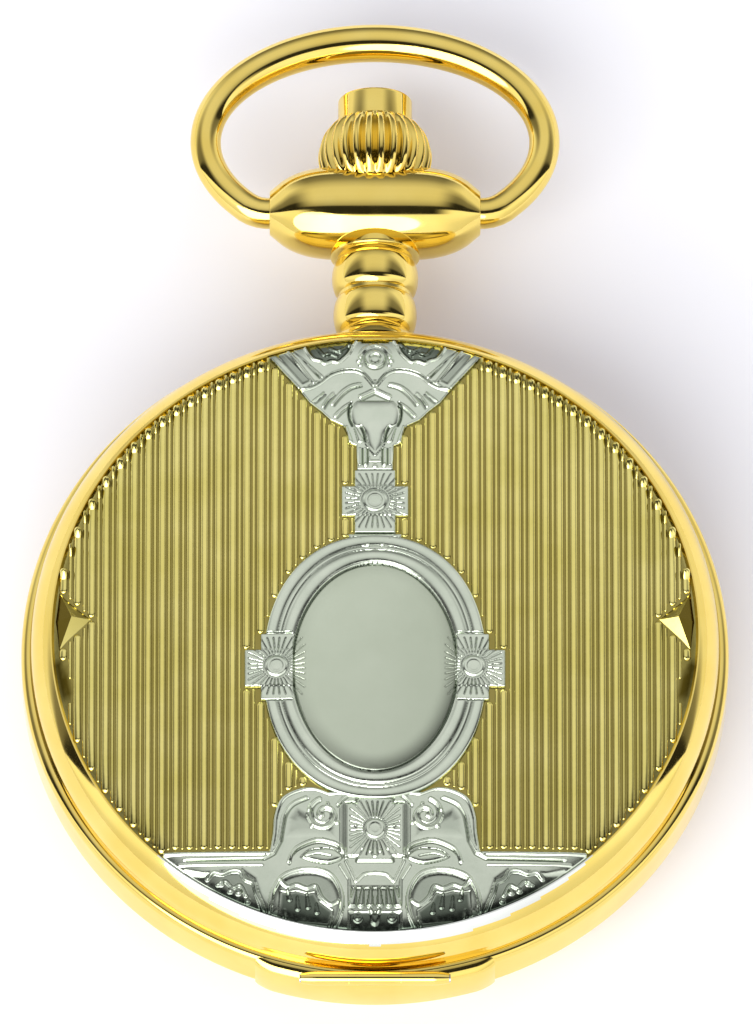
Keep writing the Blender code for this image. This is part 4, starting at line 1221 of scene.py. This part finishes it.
def make_foot():
    """Foot of the ornament: scrolled shoulders, a rosette, leaves, and shells along the cover's edge."""
    relief = Relief((-14.9, -22.0), (14.9, -11.0), foot_distance)
    x, y = relief.side, relief.y
    # Shoulder band that runs along the ledge, up the S-curve and into a volute.
    inner = [(12.7, -16.85), (7.4, -16.85), (6.75, -16.5)] + \
        curve([(6.3, -15.6), (6.15, -14.6), (5.95, -13.75), (5.45, -13.05), (4.5, -12.6)])
    relief.groove(inner, 0.11, 0.08, 0.6)
    relief.ridge(shifted(inner, 0.16, 0.14), 0.10, 0.10)
    rim = curve_corners(LEDGE_EDGE)
    relief.ridge(shifted(rim[:2], 0.0, -0.20) + shifted(rim[2:], -0.15, -0.12), 0.13, 0.09)
    relief.sink(area_distance(x, y, [(6.1, -15.4), (5.9, -13.9), (5.3, -13.1), (2.6, -14.6), (2.5, -15.6),
                                     (4.0, -15.3)]), 0.10, 0.7, 0.22)
    volute = spiral((3.42, -13.72), 1.22, 0.30, 75, -395, 34)
    relief.ridge(volute, 0.12, 0.14)
    relief.groove(spiral((3.42, -13.72), 0.96, 0.12, 75, -330, 28), 0.09, 0.07, 0.5)
    relief.beads(((3.2, -12.95), (4.45, -13.4), (4.25, -14.5), (2.55, -14.3), (3.55, -13.75)), 0.15, 0.15)
    # Arch over the rosette.
    arch = curve([(2.5, -12.95), (1.95, -12.35), (1.1, -11.85), (0.0, -11.65)])
    relief.ridge(arch, 0.11, 0.09)
    relief.groove(shifted(arch, 0.0, -0.24), 0.10, 0.07, 0.5)
    # Squarish rosette in its frame.
    square = box_distance(x, y, FOOT_CROSS, 1.95, 1.85, 0.05)
    notch = box_distance(x, y, FOOT_CROSS, 1.15, 2.2, 0.05)
    cross = np.minimum(square, notch)
    relief.swell(cross, 0.09, 0.14)
    relief.groove([(0.0, -12.45), (1.25, -12.45), (1.25, -12.85), (2.08, -12.85), (2.08, -16.75),
                   (1.25, -16.75), (1.25, -17.1), (0.0, -17.1)], 0.10, 0.08, 0.5)
    relief.ridge([(2.3, -13.0), (2.3, -16.4)], 0.08, 0.08)
    rosette(relief, (0.0, FOOT_CROSS[1] + 0.05), (1.85, 2.1), 0.50)
    relief.beads(((0.35, -16.35), (0.85, -16.15), (0.05, -16.7), (1.3, -14.6)), 0.11, 0.10)
    # Leaf at each side of the rosette, under a bright arc.
    arc = curve([(5.78, -17.0), (5.55, -16.35), (5.05, -15.9), (3.95, -15.5), (3.0, -15.65), (2.4, -15.95),
                 (1.95, -16.75)])
    relief.ridge(arc, 0.13, 0.15)
    relief.groove(shifted(arc[:-3], 0.0, -0.22), 0.12, 0.08, 0.6)
    leaf = curve([(5.0, -16.75), (4.5, -16.3), (3.8, -16.15), (2.8, -16.2), (2.2, -16.8), (3.1, -17.2),
                  (4.2, -17.05), (5.0, -16.75)])
    relief.swell(area_distance(x, y, leaf[:-1]), 0.15, 0.4)
    relief.groove(leaf, 0.09, 0.06, 0.55)
    relief.groove(curve([(4.7, -16.72), (3.9, -16.55), (3.0, -16.72)]), 0.09, 0.08, 0.5)
    # Bracket below the rosette.
    relief.ridge([(1.95, -17.0), (1.28, -18.45)] + curve([(1.2, -18.4), (0.75, -17.95), (0.0, -17.85)], 5),
                 0.11, 0.12)
    relief.ridge([(2.35, -17.3), (1.75, -18.3), (1.7, -20.2)], 0.10, 0.10)
    # Spear lines under the ledge.
    relief.ridge([(13.2, -17.1), (7.6, -17.2)], 0.08, 0.07)
    relief.sink(area_distance(x, y, [(12.9, -17.3), (11.6, -17.55), (8.9, -17.35), (7.9, -18.1), (7.3, -20.0),
                                     (7.6, -23.0), (17.0, -23.0)]), 0.10, 0.5, 0.55)
    # Shells with painted shade inside, each with an inner lip and small drops.
    shell = curve([(7.15, -20.7), (7.0, -19.5), (6.75, -18.75), (6.2, -18.0), (5.15, -17.6), (3.95, -17.58),
                   (3.0, -17.95), (2.42, -18.8), (2.2, -19.8), (2.35, -20.8), (2.75, -21.7)])
    relief.sink(area_distance(x, y, shell), 0.12, 0.5, 0.38)
    relief.ridge(shell, 0.14, 0.17)
    lip = curve([(6.35, -18.35), (5.9, -18.75), (5.3, -18.6), (4.6, -18.85), (4.0, -18.7), (3.6, -19.5),
                 (3.0, -20.0), (2.55, -19.8)])
    hollow = [(6.5, -18.9), (5.9, -19.0), (5.3, -18.9), (4.6, -19.1), (4.05, -19.0), (3.65, -19.7),
              (3.0, -20.2), (2.7, -20.4), (2.9, -21.6), (6.7, -21.3)]
    relief.sink(area_distance(x, y, hollow), 0.20, 0.4, 0.92)
    relief.ridge(lip, 0.13, 0.16)
    for top, bottom in (((5.9, -19.0), (5.75, -19.6)), ((5.25, -19.4), (5.2, -20.25)),
                        ((4.6, -19.3), (4.5, -20.15)), ((3.95, -19.9), (3.9, -20.5))):
        relief.drop(top, bottom, 0.24, 0.24)
    relief.ridge([(6.1, -20.3), (6.0, -21.2)], 0.11, 0.18)
    relief.ridge([(2.95, -20.9), (3.1, -21.6)], 0.11, 0.18)
    # Small outer leaves.
    outer = curve([(11.3, -18.1), (10.9, -17.7), (10.3, -17.8), (9.7, -17.6), (9.1, -17.65), (8.75, -18.2),
                   (8.2, -18.5), (8.0, -19.2), (7.75, -19.8), (7.5, -20.5)])
    relief.ridge(outer, 0.14, 0.18)
    relief.ridge(curve([(10.6, -18.5), (10.1, -18.3), (9.6, -18.75), (9.1, -18.6), (8.7, -19.3)]), 0.12, 0.17)
    relief.beads(((10.35, -18.45), (9.75, -18.95), (9.2, -19.1), (8.6, -19.7)), 0.19, 0.18)
    # Central fringe: a fan of drops over two beads.
    relief.sink(np.maximum(x - 1.75, y + 18.7), 0.10, 0.4, 0.45)
    relief.sink(np.maximum(x - 1.9, y + 20.45), 0.16, 0.3, 0.9)
    for px in (0.33, 0.95, 1.5):
        relief.drop((px * 0.86, -18.9), (px, -20.05), 0.24, 0.22)
    relief.beads([(1.15, -20.95)], 0.36, 0.20)
    relief.groove(circle_path((1.15, -20.95), 0.20), 0.09, 0.05, 0.6)
    relief.drop((0.3, -20.4), (0.0, -21.2), 0.30, 0.18)
    # The cover's edge is in shade all along.
    close = np.clip((np.hypot(x, y) - (PANEL_RADIUS - 0.85)) / 0.55, 0.0, 1.0)
    relief.recess = np.maximum(relief.recess, close * np.clip((12.2 - x) / 1.5, 0.0, 1.0))
    cover_piece("ornament_foot", relief.mesh(), RHODIUM)


# --- glass, dial and hands ---------------------------------------------------------------------------
PRINT_LIFT = 0.012
SECONDS_CENTRE = (0.0, -9.5)
SECONDS_RADIUS = 4.3
SECONDS_DEPTH = 0.10
SECONDS_INNER = 3.28
SECONDS_OUTER = 3.87
NUMERALS = ["XII", "I", "II", "III", "IIII", "V", "", "VII", "VIII", "IX", "X", "XI"]
NUMERAL_RADIUS = 14.9
NUMERAL_HEIGHT = 3.3
TRACK_INNER = 17.5
TRACK_OUTER = 18.3


def make_bezel():
    """Crystal ring with a rounded top."""
    bore, reach = 20.1, 21.85
    low, high = (value - MID_Z for value in span("crystal_bezel", 2))
    section = filleted([(bore, low), (reach, low), (reach, high - 0.35), (reach - 0.55, high),
                        (bore + 0.1, high), (bore, high - 0.4), (bore, low + 0.01)], 0.22, 5)
    gold_piece("glass_ring", lathe(section, ring=True, segments=300), "case", ["crystal_bezel"])


def make_crystal():
    """Low domed glass seated in its ring."""
    low, high = (value - MID_Z for value in span("crystal", 2))
    reach = 20.7
    thickness = 0.40
    rise = high - low - thickness
    outer, inner = [], []
    for index in range(25):
        radius = 0.25 + (reach - 0.25) * index / 24
        fall = rise * (radius / reach) ** 2.4
        outer.append((radius, high - fall))
        inner.append((radius, high - fall - thickness))
    mesh = lathe(outer + list(reversed(inner)), segments=180)
    new_piece("glass", mesh, GLASS, "case", ["crystal"])


def make_dial():
    """Enamel dial with a sunk seconds dial."""
    low = span("dial", 2)[0] - MID_Z
    profile = [(0.6, low), (DIAL_RADIUS - 0.12, low), (DIAL_RADIUS, low + 0.08),
               (DIAL_RADIUS, DIAL_FACE - 0.08), (DIAL_RADIUS - 0.12, DIAL_FACE), (0.6, DIAL_FACE)]
    plate = new_piece("dial_plate", lathe(profile, ring=True), ENAMEL, "case", ["dial"])
    well = [(SECONDS_RADIUS + 0.06, DIAL_FACE + 0.2), (SECONDS_RADIUS - 0.10, DIAL_FACE - SECONDS_DEPTH)]
    carve(plate, (lathe(well, centre=SECONDS_CENTRE, segments=96), "DIFFERENCE"))


class Print:
    """Flat printed marks gathered into one mesh."""

    def __init__(self):
        self.points = []
        self.faces = []

    def shape(self, outline, level=0.0):
        """Thin flat mark with this outline."""
        start = len(self.points)
        count = len(outline)
        for rise in (-0.004, PRINT_LIFT):
            self.points += [(x, y, DIAL_FACE + level + rise) for x, y in outline]
        self.faces.append(tuple(range(start + count, start + 2 * count)))
        for index in range(count):
            after = (index + 1) % count
            self.faces.append((start + index, start + after, start + count + after, start + count + index))

    def stroke(self, a, b, width, frame_turn, centre, level=0.0):
        """Straight stroke given in a numeral's own upright axes, turned and moved into place."""
        run = Vector((b[0] - a[0], b[1] - a[1])).normalized()
        side = Vector((-run.y, run.x)) * (width / 2)
        corners = [(a[0] + side.x, a[1] + side.y), (b[0] + side.x, b[1] + side.y),
                   (b[0] - side.x, b[1] - side.y), (a[0] - side.x, a[1] - side.y)]
        c, s = cos(frame_turn), sin(frame_turn)
        turned = [(centre[0] + x * c - y * s, centre[1] + x * s + y * c) for x, y in reversed(corners)]
        self.shape(turned, level)

    def circle(self, centre, inner, outer, level=0.0, segments=180):
        """Printed ring, drawn as short flat pieces."""
        for index in range(segments):
            a0, a1 = 2 * pi * index / segments, 2 * pi * (index + 1) / segments
            self.shape([(centre[0] + inner * cos(a0), centre[1] + inner * sin(a0)),
                        (centre[0] + outer * cos(a0), centre[1] + outer * sin(a0)),
                        (centre[0] + outer * cos(a1), centre[1] + outer * sin(a1)),
                        (centre[0] + inner * cos(a1), centre[1] + inner * sin(a1))], level)


GLYPHS = {
    "I": (0.62, [((0.0, -0.5), (0.0, 0.5), 0.17)]),
    "V": (1.30, [((-0.42, 0.5), (0.0, -0.5), 0.19), ((0.0, -0.5), (0.42, 0.5), 0.08)]),
    "X": (1.30, [((-0.42, 0.5), (0.42, -0.5), 0.19), ((-0.42, -0.5), (0.42, 0.5), 0.08)]),
}


def make_print():
    """Numerals, minute track and the seconds dial's track."""
    ink = Print()
    for hour, text in enumerate(NUMERALS):
        if not text:
            continue
        turn = -2 * pi * hour / 12
        centre = (-NUMERAL_RADIUS * sin(turn), NUMERAL_RADIUS * cos(turn))
        widths = [GLYPHS[letter][0] for letter in text]
        offset = -sum(widths) / 2
        for letter, width in zip(text, widths):
            middle = offset + width / 2
            offset += width
            for a, b, weight in GLYPHS[letter][1]:
                ink.stroke((a[0] + middle, a[1] * NUMERAL_HEIGHT), (b[0] + middle, b[1] * NUMERAL_HEIGHT),
                           weight * 1.7, turn, centre)
        for level in (-0.5, 0.5):
            half = sum(widths) / 2
            ink.stroke((-half, level * NUMERAL_HEIGHT), (half, level * NUMERAL_HEIGHT), 0.13, turn, centre)
    ink.circle((0.0, 0.0), TRACK_INNER, TRACK_INNER + 0.08)
    ink.circle((0.0, 0.0), TRACK_OUTER - 0.08, TRACK_OUTER)
    for minute in range(60):
        turn = -2 * pi * minute / 60
        width = 0.34 if minute % 5 == 0 else 0.11
        ink.stroke((0.0, TRACK_INNER), (0.0, TRACK_OUTER), width, turn, (0.0, 0.0))
    for radius in (SECONDS_INNER, SECONDS_OUTER):
        ink.circle(SECONDS_CENTRE, radius - 0.03, radius + 0.03, -SECONDS_DEPTH, 96)
    for second in range(60):
        turn = -2 * pi * second / 60
        start = 2.7 if second % 15 == 0 else SECONDS_INNER
        width = 0.16 if second % 5 == 0 else 0.06
        ink.stroke((0.0, start), (0.0, SECONDS_OUTER), width, turn, SECONDS_CENTRE, -SECONDS_DEPTH)
    new_piece("dial_print", mesh_from(ink.points, ink.faces, 30), INK, "case", ())


# --- hinge -----------------------------------------------------------------------------------------------
HINGE_AXIS = (sum(span("cover_hinge_tube", 1)) / 2, sum(span("cover_hinge_tube", 2)) / 2 - MID_Z)
KNUCKLE_RADIUS = 0.48
KNUCKLE_BORE = 0.31
KNUCKLE_TAPER = 1.1
KNUCKLE_GAP = 0.02
STRIP_HALF = radians(19.6)
STRIP_STEPS = 64
STRIP_ROUNDING = 0.6


def make_hinge_strip():
    """Strip along the band under the hinge, rounded on top and tapered at its ends."""
    bottom, top = BAND_LOW + 0.1, BAND_HIGH - 0.02
    start = CASE_RADIUS - BAND_FILLET
    rings = []
    for index in range(STRIP_STEPS + 1):
        share = index / STRIP_STEPS
        angle = -pi / 2 + STRIP_HALF * (2 * share - 1)
        taper = min(1.0, 14.0 * share, 14.0 * (1 - share))
        reach = CASE_RADIUS + 0.10 + 0.34 * sqrt(max(taper, 0.02))
        section = [(start, bottom), (reach - 0.25, bottom), (reach - 0.06, bottom + 0.08),
                   (reach, bottom + 0.3)]
        for turn in range(0, 91, 9):
            section.append((start + (reach - start) * cos(radians(turn)),
                            top - STRIP_ROUNDING + STRIP_ROUNDING * sin(radians(turn))))
        rings.append([(radius * cos(angle), radius * sin(angle), height) for radius, height in section])
    points, faces = skin(rings)
    gold_piece("hinge_strip", face_outwards(mesh_from(points, faces, 50)), "case", ["hinge_block"])


def make_hinge_tubes():
    """Knuckles on the hinge pin: one at each side on the case, and the cover's between them."""
    low, high = span("cover_hinge_tube", 0)
    reach = span("hinge_pin", 0)[1] - 0.1
    for name, inner_end, outer_end in (("hinge_tube_left", low - KNUCKLE_GAP, -reach),
                                       ("hinge_tube_right", high + KNUCKLE_GAP, reach)):
        run = copysign(KNUCKLE_TAPER, outer_end)
        taper = []
        for index in range(7):
            narrowing = 0.70 + 0.30 * cos(pi / 2 * index / 6)
            taper.append((KNUCKLE_RADIUS * narrowing, outer_end - run + run * index / 6))
        knuckle(name, [(KNUCKLE_RADIUS, inner_end)] + taper, "case", ())
    knuckle("hinge_tube_cover", [(KNUCKLE_RADIUS, low), (KNUCKLE_RADIUS, high)], "front_cover",
            ["cover_hinge_tube"])


def knuckle(name, outside, body, replaced):
    """Tube on the hinge's axis from its outside profile."""
    profile = [(KNUCKLE_BORE, outside[0][1])] + outside + [(KNUCKLE_BORE, outside[-1][1])]
    gold_piece(name, lathe(profile, axis="X", centre=HINGE_AXIS, segments=64), body, replaced)


# --- finishes of the CAD nodes that are shown as they are ---------------------------------------------
# Every node that is not named here is steel.
FINISHES = (
    (BLUED, ["hour_hand", "minute_hand", "seconds_hand", "hairspring"]),
    (BRASS, ["movement_ring", "barrel_drum", "barrel_teeth_ring", "centre_wheel", "third_wheel",
             "fourth_wheel", "balance_wheel", "minute_wheel", "hour_wheel"]),
    (STRIPED, ["main_plate", "barrel_bridge", "train_bridge", "balance_cock"]),
)


def finish_nodes():
    """Gives every carried-over CAD node its finish and a fine broken edge."""
    named = {name: material for material, names in FINISHES for name in names}
    named.update({name: BLUED for name in frame["nodes"] if name.startswith("bridge_screw")})
    for name, node in frame["nodes"].items():
        if node.type != "MESH" or node.hide_render:
            continue
        material = named.get(name, STEEL)
        node.data.materials.clear()
        node.data.materials.append(material)
        edge = node.modifiers.new("edge", "BEVEL")
        edge.width = 0.03 * MM
        edge.segments = 2
        edge.limit_method = "ANGLE"
        edge.angle_limit = radians(50)


# --- studio ---------------------------------------------------------------------------------------
# Brightness against degrees from overhead, positive towards the viewer's side.
SKY_MIDDLE = [(-180, 0.9), (-95, 0.85), (-88, 0.14), (-70, 0.28), (-56, 0.58), (-42, 0.80), (-24, 0.82),
              (-12, 0.76), (-4, 0.62), (4, 0.42), (7, 0.03), (26, 0.02), (28.5, 1.25), (48, 1.30),
              (70, 1.20), (95, 0.95), (180, 0.9)]
SKY_SIDES = [(-180, 0.9), (-95, 0.95), (-62, 0.95), (-48, 0.55), (-34, 0.25), (-14, 0.18), (-8, 0.03),
             (13, 0.02), (15, 1.25), (36, 1.20), (60, 0.95), (95, 0.85), (180, 0.9)]
SIDE_START = 0.30
SIDE_END = 0.72
SUN_STRENGTH = 2.2
FLOOR_GLOW = 0.17
FLOOR_TINT = (0.40, 0.40, 0.80, 1.0)
SUN_DIRECTION = (0.35, 0.75, -0.62)
SUN_SPREAD = radians(55)
CAMERA_ELEVATION = 66.0
CAMERA_DISTANCE = 2127.4
CAMERA_LENS = 1100.0
CAMERA_AIM = (0.10, 11.24)


def sky_ramp(nodes, stops):
    """Colour ramp over the full turn from (degrees from overhead, brightness) stops."""
    ramp = nodes.new("ShaderNodeValToRGB")
    elements = ramp.color_ramp.elements
    elements[0].position, elements[1].position = 0.0, 1.0
    for element, value in ((elements[0], stops[0][1]), (elements[1], stops[-1][1])):
        element.color = (value, value, value, 1)
    for degrees_from_top, value in stops[1:-1]:
        element = elements.new(0.5 + degrees_from_top / 360)
        element.color = (value, value, value, 1)
    return ramp


def make_world():
    """Soft studio light: bright on the viewer's side, a dark band near overhead, grey beyond it."""
    world = bpy.data.worlds.new("studio")
    world.use_nodes = True
    nodes, links = world.node_tree.nodes, world.node_tree.links
    background = nodes["Background"]
    place = nodes.new("ShaderNodeTexCoord")
    split = nodes.new("ShaderNodeSeparateXYZ")
    links.new(place.outputs["Generated"], split.inputs["Vector"])
    angle = nodes.new("ShaderNodeMath")
    angle.operation = "ARCTAN2"
    links.new(split.outputs["Y"], angle.inputs[0])
    links.new(split.outputs["Z"], angle.inputs[1])
    aside = nodes.new("ShaderNodeMath")
    aside.operation = "ABSOLUTE"
    links.new(split.outputs["X"], aside.inputs[0])
    share = nodes.new("ShaderNodeMapRange")
    share.inputs["From Min"].default_value = pi
    share.inputs["From Max"].default_value = -pi
    links.new(angle.outputs["Value"], share.inputs["Value"])
    sideways = nodes.new("ShaderNodeMapRange")
    sideways.interpolation_type = "SMOOTHSTEP"
    sideways.inputs["From Min"].default_value = SIDE_START
    sideways.inputs["From Max"].default_value = SIDE_END
    links.new(aside.outputs["Value"], sideways.inputs["Value"])
    mix = nodes.new("ShaderNodeMix")
    mix.data_type = "RGBA"
    links.new(sideways.outputs["Result"], mix.inputs["Factor"])
    for stops, socket in ((SKY_MIDDLE, 6), (SKY_SIDES, 7)):
        ramp = sky_ramp(nodes, stops)
        links.new(share.outputs["Result"], ramp.inputs["Fac"])
        links.new(ramp.outputs["Color"], mix.inputs[socket])
    links.new(mix.outputs[2], background.inputs["Color"])
    bpy.context.scene.world = world


def floor_material():
    """Pale matt floor with the faintest glow."""
    surface = Surface("floor", metallic=0.0)
    surface.colour(surface.blend(surface.noise(0.02), (0.95, 0.95, 0.95), (0.97, 0.97, 0.97)))
    surface.roughness(surface.spread(surface.noise(0.1), 0.75, 0.85))
    surface.set("Emission Color", FLOOR_TINT)
    surface.set("Emission Strength", FLOOR_GLOW)
    return surface.material


def make_floor():
    """Plain floor just under the back cover."""
    half = 1.2
    corners = [(-half, -half, 0), (half, -half, 0), (half, half, 0), (-half, half, 0)]
    mesh = bpy.data.meshes.new("floor")
    mesh.from_pydata(corners, [], [(0, 1, 2, 3)])
    mesh.materials.append(floor_material())
    floor = bpy.data.objects.new("floor", mesh)
    bpy.context.collection.objects.link(floor)
    floor.location.z = CAD_LOW[2] - 0.0002


def make_light():
    """One wide soft key light."""
    light = bpy.data.lights.new("key", "SUN")
    light.energy = SUN_STRENGTH
    light.angle = SUN_SPREAD
    key = bpy.data.objects.new("key", light)
    bpy.context.collection.objects.link(key)
    key.rotation_euler = Vector(SUN_DIRECTION).to_track_quat("-Z", "Y").to_euler()


def make_camera():
    """Distant camera, so that the view is almost parallel."""
    camera = bpy.data.cameras.new("camera")
    camera.lens = CAMERA_LENS
    camera.sensor_width = 36.0
    camera.clip_end = 20.0
    view = bpy.data.objects.new("camera", camera)
    bpy.context.collection.objects.link(view)
    tilt = radians(CAMERA_ELEVATION)
    view.location = (CAMERA_AIM[0] * MM, (CAMERA_AIM[1] - CAMERA_DISTANCE * cos(tilt)) * MM,
                     (MID_Z + CAMERA_DISTANCE * sin(tilt)) * MM)
    view.rotation_euler = (pi / 2 - tilt, 0.0, 0.0)
    bpy.context.scene.camera = view


# --- assembly ----------------------------------------------------------------------------------------
make_band()
make_back()
make_cover_rim()
make_hinge_strip()
make_hinge_tubes()
make_pendant()
make_bow()
make_crown()
make_button()
make_ground()
make_reeding()
make_studs()
make_crest()
make_cartouche()
make_foot()
make_bezel()
make_crystal()
make_dial()
make_print()
finish_nodes()
make_world()
make_floor()
make_light()
make_camera()
bpy.context.scene.view_settings.view_transform = "Standard"
